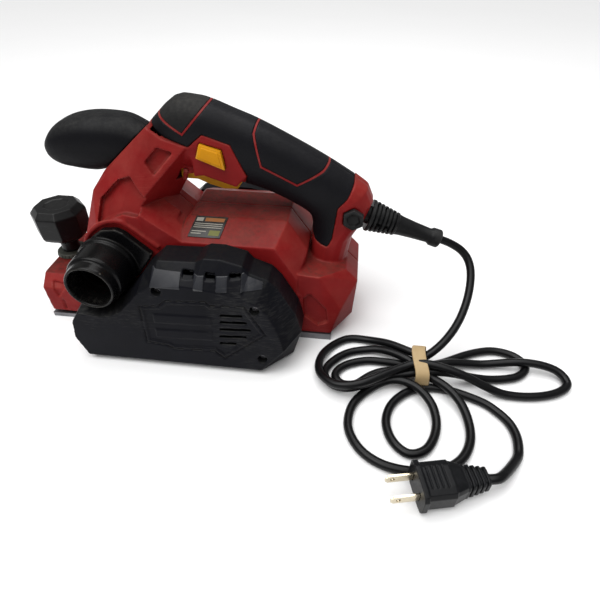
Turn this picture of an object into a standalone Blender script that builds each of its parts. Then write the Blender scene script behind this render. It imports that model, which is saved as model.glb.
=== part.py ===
"""Electric hand planer: red clamshell body, twin side covers, side dust port, cord lying on the floor.

Millimetres in the tables below, metres in the scene. X runs to the rear, Y to the far side, Z up.
Tool numbers are measured from the cutter side: x = 0 is near the middle of the sole, z = 0 is the sole.
"""

import math

import bmesh
import bpy
from mathutils import Matrix, Vector

MM = 0.001
GAP = 0.3  # running gap between two pieces

# Sole and cutter
SOLE_FRONT = -139.0
SOLE_REAR = 102.0
SOLE_HALF = 44.0
SHOE_THICK = 4.0
DRUM_X = -38.0
BLADE_CIRCLE = 24.0
DRUM_RADIUS = 22.0
DRUM_HALF = 40.5
MOUTH_FRONT = 19.5  # from the drum axis to the front shoe
MOUTH_REAR = 17.0  # from the drum axis to the rear shoe
DRUM_SHAFT = 6.0

# Motor and drive
MOTOR_X = 26.0
MOTOR_Z = 56.0
MOTOR_SHAFT = 4.5
STATOR_RADIUS = 31.5
STATOR_BORE = 19.3
CORE_RADIUS = 18.5
COMMUTATOR_RADIUS = 11.0
DRUM_PULLEY = 15.0
MOTOR_PULLEY = 10.5
BELT_THICK = 2.5
BELT_FRONT = -56.0
BELT_BACK = -68.0

# Body
SIDE = 44.0  # half width of the red body
WALL = 3.0
BODY_BOTTOM = 6.4
CREST = 96.0  # top of the motor bulge
HANDLE_HALF = 18.5
GRIP_THICK = 2.0
COVER_DEPTH = 43.5  # belt cover, from the body side to the foot of its face
COVER_LEAN = 10.0  # how much less deep its face is at the top
FAR_DEPTH = 28.0
COVER_WALL = 2.5

# Dust port
PORT_X = -68.6
PORT_Z = 66.6
PORT_RADIUS = 20.5
PORT_END_RADIUS = 18.0
PORT_BORE = 15.5
PORT_END = -81.5

# Depth knob
KNOB_X = -132.5
BLOCK_TOP = 38.0
KNOB_BASE = 55.0
KNOB_HEIGHT = 30.0
KNOB_WIDTH = 42.0
SCREW_RADIUS = 3.0

# Cord
CORD_RADIUS = 3.1
SLEEVE_ROOT = (122.0, 0.0, 94.0)
SLEEVE_TILT = -17.0
SLEEVE_LENGTH = 60.0

# The tool stands with the middle of its whole length and width over the origin.
NOSE = -144.5
FRONT_END = min(NOSE, KNOB_X - KNOB_WIDTH / 2)
SLEEVE_END = SLEEVE_ROOT[0] + SLEEVE_LENGTH * math.cos(math.radians(SLEEVE_TILT))
SLEEVE_RIM = 7.0
TAIL = SLEEVE_END + SLEEVE_RIM * math.sin(math.radians(-SLEEVE_TILT))
X_SHIFT = -(FRONT_END + TAIL) / 2
NEAR = -SIDE - 0.4 - COVER_DEPTH
FAR = SIDE + 0.4 + FAR_DEPTH
Y_SHIFT = -(NEAR + FAR) / 2

HALVES = (("left", -1), ("right", 1))

# Solids whose many flush planes need the MANIFOLD solver.
FLUSH = ("body", "inner", "skin", "ring", "housing", "shell", "piece", "horn", "grip", "front_handle", "cord")
FLUSH += ("fan", "plug")


def clear():
    for obj in list(bpy.data.objects):
        bpy.data.objects.remove(obj, do_unlink=True)


def material(name, colour, roughness, metallic=0.0):
    found = bpy.data.materials.get(name)
    if found:
        return found
    made = bpy.data.materials.new(name)
    made.use_nodes = True
    shader = made.node_tree.nodes["Principled BSDF"]
    shader.inputs["Base Color"].default_value = (*colour, 1.0)
    shader.inputs["Roughness"].default_value = roughness
    shader.inputs["Metallic"].default_value = metallic
    return made


def look(kind):
    return {
        "red": lambda: material("red_plastic", (0.42, 0.03, 0.03), 0.5),
        "black": lambda: material("black_plastic", (0.02, 0.02, 0.022), 0.45),
        "rubber": lambda: material("black_rubber", (0.025, 0.025, 0.028), 0.75),
        "yellow": lambda: material("yellow_plastic", (0.85, 0.5, 0.02), 0.45),
        "steel": lambda: material("steel", (0.55, 0.55, 0.57), 0.35, 1.0),
        "dark_steel": lambda: material("lamination_steel", (0.2, 0.2, 0.22), 0.5, 1.0),
        "aluminium": lambda: material("aluminium", (0.68, 0.68, 0.7), 0.42, 1.0),
        "copper": lambda: material("copper", (0.7, 0.32, 0.16), 0.4, 1.0),
        "brass": lambda: material("brass", (0.75, 0.6, 0.3), 0.35, 1.0),
        "carbon": lambda: material("carbon", (0.05, 0.05, 0.05), 0.8),
        "grey": lambda: material("grey_plastic", (0.3, 0.32, 0.28), 0.55),
        "label": lambda: material("label_film", (0.12, 0.12, 0.11), 0.4),
        "band": lambda: material("tan_rubber", (0.55, 0.42, 0.24), 0.6),
    }[kind]()


# Solids, as bmeshes in millimetres


def fresh(verts, faces):
    bm = bmesh.new()
    made = [bm.verts.new(v) for v in verts]
    for face in faces:
        bm.faces.new([made[i] for i in face])
    bmesh.ops.recalc_face_normals(bm, faces=bm.faces)
    return bm


def hull(points):
    bm = bmesh.new()
    for p in points:
        bm.verts.new(p)
    result = bmesh.ops.convex_hull(bm, input=bm.verts)
    loose = [v for v in result["geom_interior"] if isinstance(v, bmesh.types.BMVert)]
    bmesh.ops.delete(bm, geom=loose, context="VERTS")
    bmesh.ops.dissolve_limit(bm, angle_limit=0.001, verts=bm.verts, edges=bm.edges)
    bmesh.ops.recalc_face_normals(bm, faces=bm.faces)
    return bm


def both_sides(points):
    return [(x, s * y, z) for x, y, z in points for s in (-1, 1)]


def box(x0, x1, y0, y1, z0, z1):
    return hull([(x, y, z) for x in (x0, x1) for y in (y0, y1) for z in (z0, z1)])


def inset_hull(points, depth):
    """The convex solid of these points with every face moved inward."""
    outer = hull(points)
    planes = [(f.calc_center_median(), f.normal.copy()) for f in outer.faces]
    outer.free()
    bm = box(-400, 400, -400, 400, -400, 400)
    for centre, normal in planes:
        everything = list(bm.verts) + list(bm.edges) + list(bm.faces)
        cut = bmesh.ops.bisect_plane(
            bm, geom=everything, plane_co=centre - normal * depth, plane_no=normal, clear_outer=True
        )
        edges = [e for e in cut["geom_cut"] if isinstance(e, bmesh.types.BMEdge)]
        if edges:
            bmesh.ops.contextual_create(bm, geom=edges)
    bmesh.ops.remove_doubles(bm, verts=bm.verts, dist=0.001)
    bmesh.ops.recalc_face_normals(bm, faces=bm.faces)
    return bm


def prism(outline, y0, y1):
    """An XZ outline pushed along Y."""
    n = len(outline)
    verts = [(x, y0, z) for x, z in outline] + [(x, y1, z) for x, z in outline]
    faces = [list(range(n)), list(range(2 * n - 1, n - 1, -1))]
    faces += [(i, (i + 1) % n, n + (i + 1) % n, n + i) for i in range(n)]
    return fresh(verts, faces)


def rings(loops):
    """A closed skin through equal loops of points, with both ends filled."""
    n = len(loops[0])
    verts = [p for loop in loops for p in loop]
    last = (len(loops) - 1) * n
    faces = [list(range(n)), [last + i for i in reversed(range(n))]]
    for k in range(len(loops) - 1):
        for i in range(n):
            j = (i + 1) % n
            faces.append((k * n + i, (k + 1) * n + i, (k + 1) * n + j))
            faces.append((k * n + i, (k + 1) * n + j, k * n + j))
    return fresh(verts, faces)


def lathe(profile, steps, origin, axis, inner=None):
    """Revolves (distance along axis, radius) rows. With inner, the skin returns along a bore of that radius."""
    axis = Vector(axis).normalized()
    side = axis.orthogonal().normalized()
    up = axis.cross(side)
    rows = list(profile)
    if inner is not None:
        rows += [(profile[-1][0], inner), (profile[0][0], inner)]
    verts = []
    for along, radius in rows:
        for i in range(steps):
            a = 2 * math.pi * i / steps
            verts.append(Vector(origin) + axis * along + (side * math.cos(a) + up * math.sin(a)) * radius)
    faces = []
    count = len(rows)
    for k in range(count if inner is not None else count - 1):
        m = (k + 1) % count
        for i in range(steps):
            j = (i + 1) % steps
            faces.append((k * steps + i, m * steps + i, m * steps + j, k * steps + j))
    if inner is None:
        faces.append(tuple(reversed(range(steps))))
        faces.append(tuple((count - 1) * steps + i for i in range(steps)))
    return fresh(verts, faces)


def disc_y(x, z, radius, y0, y1, steps=24, inner=None):
    return lathe([(0, radius), (y1 - y0, radius)], steps, (x, y0, z), (0, 1, 0), inner)


def disc_z(x, y, radius, z0, z1, steps=24, inner=None):
    return lathe([(0, radius), (z1 - z0, radius)], steps, (x, y, z0), (0, 0, 1), inner)


def offset(outline, amount):
    """An outline (counter-clockwise) moved outward by amount, with sharp corners."""
    n = len(outline)
    area = sum(outline[i][0] * outline[(i + 1) % n][1] - outline[(i + 1) % n][0] * outline[i][1] for i in range(n))
    sign = 1 if area > 0 else -1
    made = []
    for i in range(n):
        a, b, c = (Vector(outline[k % n]) for k in (i - 1, i, i + 1))
        d0, d1 = (b - a).normalized(), (c - b).normalized()
        n0, n1 = Vector((d0.y, -d0.x)) * sign, Vector((d1.y, -d1.x)) * sign
        middle = (n0 + n1).normalized()
        reach = amount / max(0.35, middle.dot(n0))
        made.append(tuple(b + middle * reach))
    return made


# Nodes


def node(name, bm, kind, smooth=None, parent=None):
    bmesh.ops.scale(bm, vec=(MM, MM, MM), verts=bm.verts)
    mesh = bpy.data.meshes.new(name)
    bm.to_mesh(mesh)
    bm.free()
    obj = bpy.data.objects.new(name, mesh)
    bpy.context.scene.collection.objects.link(obj)
    obj.data.materials.append(look(kind))
    obj.parent = parent or bpy.data.objects.get("tool_frame")
    if smooth:
        mesh.shade_smooth()
        mesh.set_sharp_from_angle(angle=math.radians(smooth))
    return obj


def combine(obj, bm, operation):
    """Applies one Boolean with a temporary solid."""
    cutter = node("cutter", bm, "red")
    cutter.parent = None
    parent, obj.parent = obj.parent, None
    modifier = obj.modifiers.new("cut", "BOOLEAN")
    modifier.operation = operation
    modifier.solver = "MANIFOLD" if obj.name.startswith(FLUSH) else "EXACT"
    modifier.object = cutter
    bpy.context.view_layer.update()
    graph = bpy.context.evaluated_depsgraph_get()
    mesh = bpy.data.meshes.new_from_object(obj.evaluated_get(graph))
    obj.modifiers.clear()
    old = obj.data
    obj.data = mesh
    mesh.name = obj.name
    bpy.data.meshes.remove(old)
    spare = cutter.data
    bpy.data.objects.remove(cutter)
    bpy.data.meshes.remove(spare)
    obj.parent = parent
    return obj


def add(obj, *solids):
    for bm in solids:
        combine(obj, bm, "UNION")
    return obj


def cut(obj, *solids):
    for bm in solids:
        combine(obj, bm, "DIFFERENCE")
    return obj


def keep(obj, bm):
    return combine(obj, bm, "INTERSECT")


def copy_of(obj, name):
    made = obj.copy()
    made.data = obj.data.copy()
    made.name = name
    made.data.name = name
    bpy.context.scene.collection.objects.link(made)
    return made


def drop(*objects):
    for obj in objects:
        bpy.data.objects.remove(obj, do_unlink=True)


def tidy(obj, smooth=None):
    bm = bmesh.new()
    bm.from_mesh(obj.data)
    bmesh.ops.remove_doubles(bm, verts=bm.verts, dist=2e-6)
    bmesh.ops.dissolve_degenerate(bm, dist=2e-6, edges=bm.edges)
    bmesh.ops.triangulate(bm, faces=bm.faces)
    bmesh.ops.recalc_face_normals(bm, faces=bm.faces)
    bm.to_mesh(obj.data)
    bm.free()
    if smooth:
        obj.data.shade_smooth()
        obj.data.set_sharp_from_angle(angle=math.radians(smooth))
    return obj


def half_space(side):
    return box(-500, 500, *sorted((side * 0.15, side * 500)), -500, 500)


# Handle: sections from the front of the grip, over the top and down the rear column.
# Each row: top point, bottom point, half width.
HANDLE = [
    ((-34.0, 158.0), (-16.0, 130.0), 17.0),
    ((-14.5, 175.0), (-8.0, 127.0), 18.0),
    ((0.0, 177.5), (2.0, 125.5), HANDLE_HALF),
    ((9.0, 175.5), (12.0, 122.0), HANDLE_HALF),
    ((24.0, 170.5), (24.0, 118.0), 18.0),
    ((42.0, 162.7), (34.0, 116.0), 17.5),
    ((68.0, 149.4), (50.0, 111.0), 17.0),
    ((90.0, 137.8), (66.0, 103.5), 17.0),
    ((108.0, 127.0), (78.0, 96.0), 17.5),
    ((121.0, 118.0), (81.0, 88.0), 18.0),
    ((125.8, 107.5), (81.0, 82.0), 18.5),
    ((121.5, 95.0), (81.5, 76.0), 19.0),
    ((113.0, 80.0), (81.0, 70.0), 20.0),
    ((110.0, 62.0), (79.0, 58.0), 21.0),
    ((108.0, 50.0), (78.0, 48.0), 21.0),
]


def handle(shrink, steps=20, rows=HANDLE):
    """The handle's skin, with every section smaller by shrink."""
    loops = []
    for top, bottom, half in rows:
        t, b = Vector(top), Vector(bottom)
        middle, axis = (t + b) / 2, (t - b).normalized()
        tall, wide = (t - b).length / 2 - shrink, half - shrink
        loop = []
        for i in range(steps):
            a = 2 * math.pi * (i + 0.5) / steps
            c, s = math.cos(a), math.sin(a)
            v = math.copysign(abs(c) ** 0.8, c) * tall
            w = math.copysign(abs(s) ** 0.8, s) * wide
            p = middle + axis * v
            loop.append((p.x, w, p.y))
        loops.append(loop)
    return rings(loops)


# Red body: convex blocks, each listed for one side and mirrored.
FRONT_BLOCK = [
    (SOLE_FRONT + 0.5, 43.0, BODY_BOTTOM),
    (-141.0, 41.0, 29.0),
    (-141.0, 31.5, BLOCK_TOP),
    (NOSE, 8.0, BLOCK_TOP - 3),
    (NOSE, 8.0, 22.0),
    (-139.0, 8.0, BODY_BOTTOM),
    (-80.0, 32.0, BLOCK_TOP),
    (-80.0, SIDE, 27.0),
    (-80.0, SIDE, BODY_BOTTOM),
]
FRONT_RISE = [
    (-110.0, 33.0, BLOCK_TOP),
    (-116.0, 42.5, 26.0),
    (-108.0, 43.0, BODY_BOTTOM),
    (-96.0, 36.0, 62.0),
    (-90.0, 40.0, 74.0),
    (-70.0, SIDE, 74.0),
    (-70.0, SIDE, BODY_BOTTOM),
]
BASE_BLOCK = [
    (-92.0, SIDE, BODY_BOTTOM),
    (-90.0, SIDE, 72.0),
    (60.0, SIDE, 72.0),
    (76.0, SIDE, 44.0),
    (76.0, SIDE, BODY_BOTTOM),
]
REAR_BLOCK = [
    (50.0, 43.0, BODY_BOTTOM),
    (50.0, 43.0, 66.0),
    (74.0, 43.0, 58.0),
    (90.0, 42.0, 62.0),
    (108.0, 41.0, 31.0),
    (101.0, 43.0, BODY_BOTTOM),
    (109.5, 26.0, 60.0),
    (119.5, 26.0, 50.0),
    (117.5, 28.0, 18.0),
    (106.0, 32.0, BODY_BOTTOM),
]
BULGE = [
    (-9.0, 21.0, CREST),
    (64.0, 21.0, CREST),
    (-16.0, SIDE, 86.0),
    (58.0, SIDE, 86.0),
    (-38.0, SIDE, 66.0),
    (74.0, SIDE, 60.0),
    (-30.0, 21.0, 78.0),
    (80.0, 24.0, 74.0),
    (-38.0, SIDE, 40.0),
    (74.0, SIDE, 40.0),
]
NECK = [
    (-67.5, 21.0, 127.5),
    (-27.0, 18.5, 162.5),
    (-76.0, 29.0, 115.5),
    (-83.5, 35.0, 92.0),
    (-89.0, SIDE, 72.0),
    (-72.0, 43.5, 97.0),
    (-56.0, 43.5, 105.0),
    (-38.0, 43.0, 105.0),
    (-4.5, 18.5, 146.5),
    (-12.5, 18.5, 124.0),
    (-21.0, 26.0, 106.0),
    (-26.0, SIDE, 88.0),
    (-88.0, SIDE, 45.0),
    (-30.0, SIDE, 45.0),
]
SWITCH_PANEL = [(-12.0, 123.5), (-4.5, 146.0), (6.5, 154.8), (25.0, 148.5), (35.0, 126.5), (27.0, 118.5), (4.0, 126.0)]

# Black rubber zones on the handle, seen from the side.
GRIP_ZONE = [
    (-50.0, 172.0), (-31.5, 160.0), (-20.5, 152.0), (-4.5, 146.3), (6.6, 155.3), (25.3, 149.0),
    (35.3, 126.5), (28.0, 108.0), (60.0, 84.0), (80.0, 92.0), (79.0, 84.0), (83.5, 76.5),
    (94.0, 75.0), (97.0, 81.0), (100.0, 106.5), (106.4, 113.5), (110.2, 122.0), (113.0, 150.0),
    (70.0, 200.0), (-20.0, 210.0),
]
CAP_ZONE = [(-42.0, 178.0), (-22.5, 165.0), (-7.0, 155.5), (14.5, 178.0), (24.0, 210.0), (-36.0, 210.0)]
PAD_ZONE = [
    (47.0, 190.0), (44.0, 165.0), (41.7, 155.6), (46.3, 135.0), (70.6, 123.0), (88.0, 132.5), (96.0, 140.0),
    (108.0, 160.0), (90.0, 190.0),
]
LINE = 1.5  # red line between two rubber zones

# Side covers: outline of the rim on the body, and of the face.
COVER_RIM = [
    (-82.0, 3.0), (-91.5, 22.0), (-90.0, 40.5), (-84.0, 46.5), (-76.5, 44.2), (-68.6, 43.4), (-60.5, 44.8),
    (-53.0, 49.5), (-45.4, 57.0), (-34.0, 72.0), (-21.5, 83.5), (6.0, 84.4), (12.4, 87.8), (23.2, 87.8),
    (38.6, 83.6), (43.0, 78.0), (56.2, 73.0), (63.3, 65.0), (75.7, 43.0), (80.0, 26.0), (74.0, 3.0),
]
COVER_FACE = [
    (-78.0, 4.0), (-87.5, 21.0), (-86.5, 37.0), (-81.0, 42.5), (-74.5, 40.6), (-67.5, 40.2), (-59.0, 42.0),
    (-50.5, 46.5), (-43.0, 53.0), (-33.0, 61.0), (-22.0, 66.0), (4.0, 67.0), (12.0, 67.5), (23.0, 67.2),
    (35.0, 65.5), (40.0, 63.5), (48.0, 58.0), (54.0, 51.0), (65.0, 36.0), (68.5, 24.0), (49.0, 4.0),
]


def cover_skin(side, depth, lean, shrink):
    """Rim, shoulder and face loops of a side cover. The face leans back toward the body at the top."""
    rim = offset(COVER_RIM, -shrink)
    face = offset(COVER_FACE, -shrink * 0.6)
    start = SIDE + 0.4 - (1.0 if shrink else 0.0)
    shoulder = SIDE + 0.4 + depth * 0.46
    loops = [[(x, side * start, z) for x, z in rim], [(x, side * shoulder, z) for x, z in rim]]
    bottom = SIDE + 0.4 + depth - shrink
    loops.append([(x, side * (bottom - max(0.0, z - 4.0) * lean / 62), z) for x, z in face])
    return rings(loops)


def build_body():
    body = node("body", hull(both_sides(BASE_BLOCK)), "red")
    for block in (FRONT_BLOCK, FRONT_RISE, REAR_BLOCK, BULGE, NECK):
        add(body, hull(both_sides(block)))
    add(body, handle(0.0), prism(SWITCH_PANEL, -17.8, 17.8))

    skin = node("skin", handle(-1.0), "red")
    cut(skin, handle(GRIP_THICK + GAP))
    for zone, grow in ((GRIP_ZONE, GAP), (CAP_ZONE, 0.0), (PAD_ZONE, 0.0)):
        if zone is GRIP_ZONE:
            keep(skin, prism(offset(zone, grow), -60, 60))
    for zone in (CAP_ZONE, PAD_ZONE):
        ring = node("ring", prism(offset(zone, LINE - GAP), -60, 60), "red")
        cut(ring, prism(offset(zone, GAP), -61, 61))
        combine_with(skin, ring)
    combine_with(body, skin)

    # Hollow inside, open below the sole line
    inner = node("inner", inset_hull(both_sides(BASE_BLOCK), WALL), "red")
    for block in (FRONT_BLOCK, FRONT_RISE, REAR_BLOCK, BULGE, NECK):
        add(inner, inset_hull(both_sides(block), WALL))
    add(inner, handle(GRIP_THICK + 2.8, 12, HANDLE[1:-1]))
    add(inner, box(-134, 98, -SIDE + WALL, SIDE - WALL, -5, 14))
    cut(inner, post(KNOB_X, 0, 10.0, 9.7, 60))
    combine_with(body, inner)
    return body


def post(x, y, radius, z0, z1):
    return disc_z(x, y, radius, z0, z1, 20)


def combine_with(obj, other):
    """Cuts another object's shape out of this one and drops it."""
    bm = bmesh.new()
    bm.from_mesh(other.data)
    bmesh.ops.scale(bm, vec=(1000, 1000, 1000), verts=bm.verts)
    drop(other)
    return cut(obj, bm)


SCREWS = (("neck", -54.0, 112.0), ("column", 112.0, 98.7), ("rear", 92.0, 36.0))
BUTTON = [(4.4, 149.3), (18.8, 145.0), (20.6, 131.8), (0.8, 139.4)]
HEX_SIZE = 8.6


def hexagon(x, z, radius):
    return [(x + radius * math.sin(math.pi * k / 3), z + radius * math.cos(math.pi * k / 3)) for k in range(6)]


def sleeve_axis():
    tilt = math.radians(SLEEVE_TILT)
    return Vector((math.cos(tilt), 0, math.sin(tilt)))


def sleeve_point(along):
    return Vector(SLEEVE_ROOT) + sleeve_axis() * along


def openings_in_body(body):
    cut(body, disc_y(DRUM_X, BLADE_CIRCLE, DRUM_SHAFT + 1.5, -60, 60))
    cut(body, disc_y(MOTOR_X, MOTOR_Z, MOTOR_SHAFT + 1.5, -60, 60))
    cut(body, disc_y(PORT_X, PORT_Z, PORT_BORE, -60, 60))
    cut(body, disc_z(KNOB_X, 0, SCREW_RADIUS + GAP, -5, 80, 16))
    cut(body, disc_z(KNOB_X, 0, 6.0 + GAP, -5, 32, 20))
    # Trigger slot and lock button window
    cut(body, box(-16, 31, -7.3, 7.3, 100, 134), disc_y(*TRIGGER_PIVOT, 1.5 + GAP, -12.3, 12.3, 12))
    cut(body, prism(offset(BUTTON, 0.4), -30, -8))
    # Recessed panels of the neck
    for side in (-1, 1):
        y0, y1 = sorted((side * 17.5, side * 40))
        cut(body, prism([(-19.0, 152.5), (-13.0, 146.0), (-34.0, 126.0), (-40.0, 132.0)], y0, y1))
        cut(body, prism(hexagon(112.0, 98.7, HEX_SIZE + GAP), *sorted((side * 15.5, side * 40))))
    # Seat of the cord sleeve
    start = sleeve_point(1.0)
    cut(body, lathe([(0, 12.4), (30, 12.4)], 24, start, sleeve_axis()))
    cut(body, lathe([(0, 7.4), (9, 7.4)], 20, sleeve_point(-7), sleeve_axis()))
    return body


def build_housing():
    body = openings_in_body(build_body())
    for name, side in HALVES:
        half = copy_of(body, "housing_" + name)
        keep(half, half_space(side))
        add(half, disc_y(PORT_X, PORT_Z, 18.5, *sorted((side * 8, side * (SIDE - 0.5))), steps=24, inner=PORT_BORE))
        for _, x, z in SCREWS:
            reach = SIDE if x != 112.0 else 17.0
            if x == -54.0:
                reach = 36.0
            span = sorted((side * 0.15, side * (reach - 1.5)))
            add(half, disc_y(x, z, 4.6, *span, steps=16))
            inner = 2.0 + GAP if side > 0 else 1.9
            cut(half, disc_y(x, z, inner, *sorted((-0.5 * side, side * (reach - 4.5))), steps=12))
        if side > 0:
            for _, x, z in SCREWS:
                reach = {-54.0: 36.0, 112.0: 17.0, 92.0: 42.0}[x]
                cut(half, disc_y(x, z, 2.0 + GAP, -1, 60, steps=12))
                cut(half, disc_y(x, z, 4.0, reach - 6.6, 60, steps=16))
        tidy(half)
    drop(body)


def build_screws():
    for name, x, z in SCREWS:
        reach = {-54.0: 36.0, 112.0: 17.0, 92.0: 42.0}[x]
        shank = 1.6
        rows = [(0, shank), (reach + 9.0 - 6.3, shank), (reach + 9.0 - 6.3, 3.6), (reach + 9.0 - 3.5, 3.6)]
        screw = node("screw_" + name, lathe(rows, 16, (x, -9.0, z), (0, 1, 0)), "steel", 40)
        tidy(screw, 40)


def build_grip():
    shell = node("shell", handle(0.0), "rubber")
    cut(shell, handle(GRIP_THICK))
    zones = {"grip": GRIP_ZONE, "grip_cap": CAP_ZONE, "grip_pad": PAD_ZONE}
    for name, zone in zones.items():
        piece = copy_of(shell, "piece")
        keep(piece, prism(zone, -60, 60))
        if name == "grip":
            cut(piece, prism(offset(CAP_ZONE, LINE), -61, 61), prism(offset(PAD_ZONE, LINE), -61, 61))
            cut(piece, prism(offset(SWITCH_PANEL, GAP), -61, 61))
            cut(piece, hull_of_neck())
        else:
            keep(piece, prism(offset(GRIP_ZONE, -0.2), -60, 60))
            tidy(copy_of(piece, name), 35)
        for side_name, side in HALVES if name == "grip" else ():
            half = copy_of(piece, name + "_" + side_name)
            keep(half, half_space(side))
            tidy(half, 35)
        drop(piece)
    drop(shell)


def hull_of_neck():
    return inset_hull(both_sides(NECK), -GAP)


HORN = [
    # top point, bottom point, half width, along the hooked front handle
    ((-34.0, 151.0), (-64.0, 125.0), 18.5),
    ((-50.0, 159.5), (-74.0, 122.0), 19.5),
    ((-66.0, 162.0), (-80.0, 120.2), 20.0),
    ((-82.0, 162.0), (-88.0, 120.0), 20.0),
    ((-97.0, 159.5), (-97.5, 120.5), 19.5),
    ((-110.0, 154.0), (-106.5, 122.0), 18.0),
    ((-118.5, 145.0), (-113.5, 125.5), 14.5),
    ((-121.0, 138.0), (-118.5, 131.0), 8.0),
]


def horn_loops(shrink, steps=20):
    loops = []
    for top, bottom, half in HORN:
        t, b = Vector(top), Vector(bottom)
        middle, axis = (t + b) / 2, (t - b).normalized()
        tall, wide = (t - b).length / 2 - shrink, half - shrink
        loop = []
        for i in range(steps):
            a = 2 * math.pi * (i + 0.5) / steps
            c, s = math.cos(a), math.sin(a)
            p = middle + axis * math.copysign(abs(c) ** 0.85, c) * tall
            loop.append((p.x, math.copysign(abs(s) ** 0.8, s) * wide, p.y))
        loops.append(loop)
    return loops


def build_horn():
    horn = node("horn", rings(horn_loops(0.0)), "rubber")
    cut(horn, rings(horn_loops(3.5, 12)[1:-2]))
    cut(horn, inset_hull(both_sides(NECK), -GAP))
    for name, side in HALVES:
        half = copy_of(horn, "front_handle_" + name)
        keep(half, half_space(side))
        tidy(half, 40)
    drop(horn)


def build_depth_control():
    knob = node("depth_knob", octagon_knob(), "black")
    add(knob, disc_z(KNOB_X, 0, 7.0, BLOCK_TOP + 4.2, KNOB_BASE + 1, 20))
    add(knob, disc_z(KNOB_X, 0, SCREW_RADIUS, 14, KNOB_BASE + 1, 16))
    tidy(knob, 30)
    node("depth_dial", disc_z(KNOB_X, 0, 11.0, BLOCK_TOP + 0.4, BLOCK_TOP + 3.9, 32, SCREW_RADIUS + 0.5), "grey", 40)

    shoe = node(
        "front_shoe", box(SOLE_FRONT, DRUM_X - MOUTH_FRONT, -SOLE_HALF, SOLE_HALF, 0, SHOE_THICK), "aluminium"
    )
    add(shoe, disc_z(KNOB_X, 0, 6.0, 1, 29.5, 20))
    cut(shoe, disc_z(KNOB_X, 0, SCREW_RADIUS + GAP, 8, 60, 16))
    groove = [(x, y, z) for x in (-150, 0) for y, z in ((-5, -1), (5, -1), (0, 3))]
    cut(shoe, hull(groove))
    tidy(shoe)
    rear = box(DRUM_X + MOUTH_REAR, SOLE_REAR, -SOLE_HALF, SOLE_HALF, 0, BODY_BOTTOM - 0.4)
    node("rear_shoe", rear, "aluminium")


def octagon_knob():
    flat = KNOB_WIDTH / 2 / math.cos(math.pi / 8)
    top = KNOB_BASE + KNOB_HEIGHT
    rows = ((KNOB_BASE, 0.72), (KNOB_BASE + 4, 0.94), (top - 5, 1.0), (top, 0.78))
    loops = []
    for z, scale in rows:
        loop = []
        for k in range(8):
            a = math.pi / 8 + k * math.pi / 4
            loop.append((KNOB_X + flat * scale * math.cos(a), flat * scale * math.sin(a), z))
        loops.append(loop)
    return rings(loops)


def build_covers():
    for name, side, depth, lean in (("belt_cover", -1, COVER_DEPTH, COVER_LEAN), ("far_cover", 1, FAR_DEPTH, 8.0)):
        cover = node(name, cover_skin(side, depth, lean, 0.0), "black")
        cut(cover, cover_skin(side, depth, lean, COVER_WALL))
        screws = COVER_SCREWS if side < 0 else COVER_SCREWS[::2]
        for x, z in screws:
            face = SIDE + 0.4 + depth - (z - 4) * lean / 62
            add(cover, disc_y(x, z, 4.6, *sorted((side * (SIDE + 0.6), side * (face - 1.0))), steps=14))
            cut(cover, disc_y(x, z, 1.9, *sorted((side * 30, side * 120)), steps=10))
            cut(cover, disc_y(x, z, 3.5, *sorted((side * (face - 5.0), side * 120)), steps=14))
        tidy(cover, 25)
        for k, (x, z) in enumerate(screws):
            face = SIDE + 0.4 + depth - (z - 4) * lean / 62
            length = face - 4.7 - SIDE - 0.4
            rows = [(0, 1.6), (length, 1.6), (length, 3.1), (length + 2.4, 3.1)]
            start = (x, side * (SIDE + 0.4), z)
            screw = node(f"{name}_screw_{k + 1}", lathe(rows, 12, start, (0, side, 0)), "dark_steel")
            tidy(screw, 40)


COVER_SCREWS = ((-72.0, 14.0), (-30.0, 60.0), (58.0, 22.0))


FLANGE = [
    (-87.5, 62.0), (-86.0, 72.0), (-82.0, 81.0), (-75.0, 89.0), (-66.5, 94.8), (-56.0, 96.0), (-50.5, 93.5),
    (-41.0, 84.5), (-33.0, 77.0), (-34.6, 73.0), (-46.0, 58.2), (-53.6, 50.6), (-61.0, 45.8), (-68.6, 44.5),
    (-76.5, 45.3), (-83.0, 50.0),
]


def build_dust_path():
    port = node("dust_port", prism(FLANGE, -SIDE - 6.0, -SIDE - 0.4), "black")
    rows = [(0, PORT_RADIUS + 1.5), (4.0, PORT_RADIUS + 1.5), (5.0, PORT_RADIUS), (24.0, PORT_RADIUS)]
    rows += [(25.0, PORT_END_RADIUS), (-SIDE - 5.0 - PORT_END, PORT_END_RADIUS)]
    add(port, lathe(rows, 32, (PORT_X, -SIDE - 5.0, PORT_Z), (0, -1, 0)))
    cut(port, disc_y(PORT_X, PORT_Z, PORT_BORE, -120, 0, 32))
    tidy(port, 35)
    blank = node("port_blank", prism(FLANGE, SIDE + 0.4, SIDE + 4.0), "black")
    add(blank, disc_y(PORT_X, PORT_Z, 17.0, SIDE + 3.0, SIDE + 8.0, 32))
    tidy(blank, 35)


def spin_box(x0, x1, y0, y1, z0, z1, angle):
    """A box about the drum axis, turned by angle degrees."""
    bm = box(x0, x1, y0, y1, z0, z1)
    bmesh.ops.rotate(bm, cent=(0, 0, 0), matrix=Matrix.Rotation(math.radians(angle), 3, "Y"), verts=bm.verts)
    bmesh.ops.translate(bm, vec=(DRUM_X, 0, BLADE_CIRCLE), verts=bm.verts)
    return bm


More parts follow.
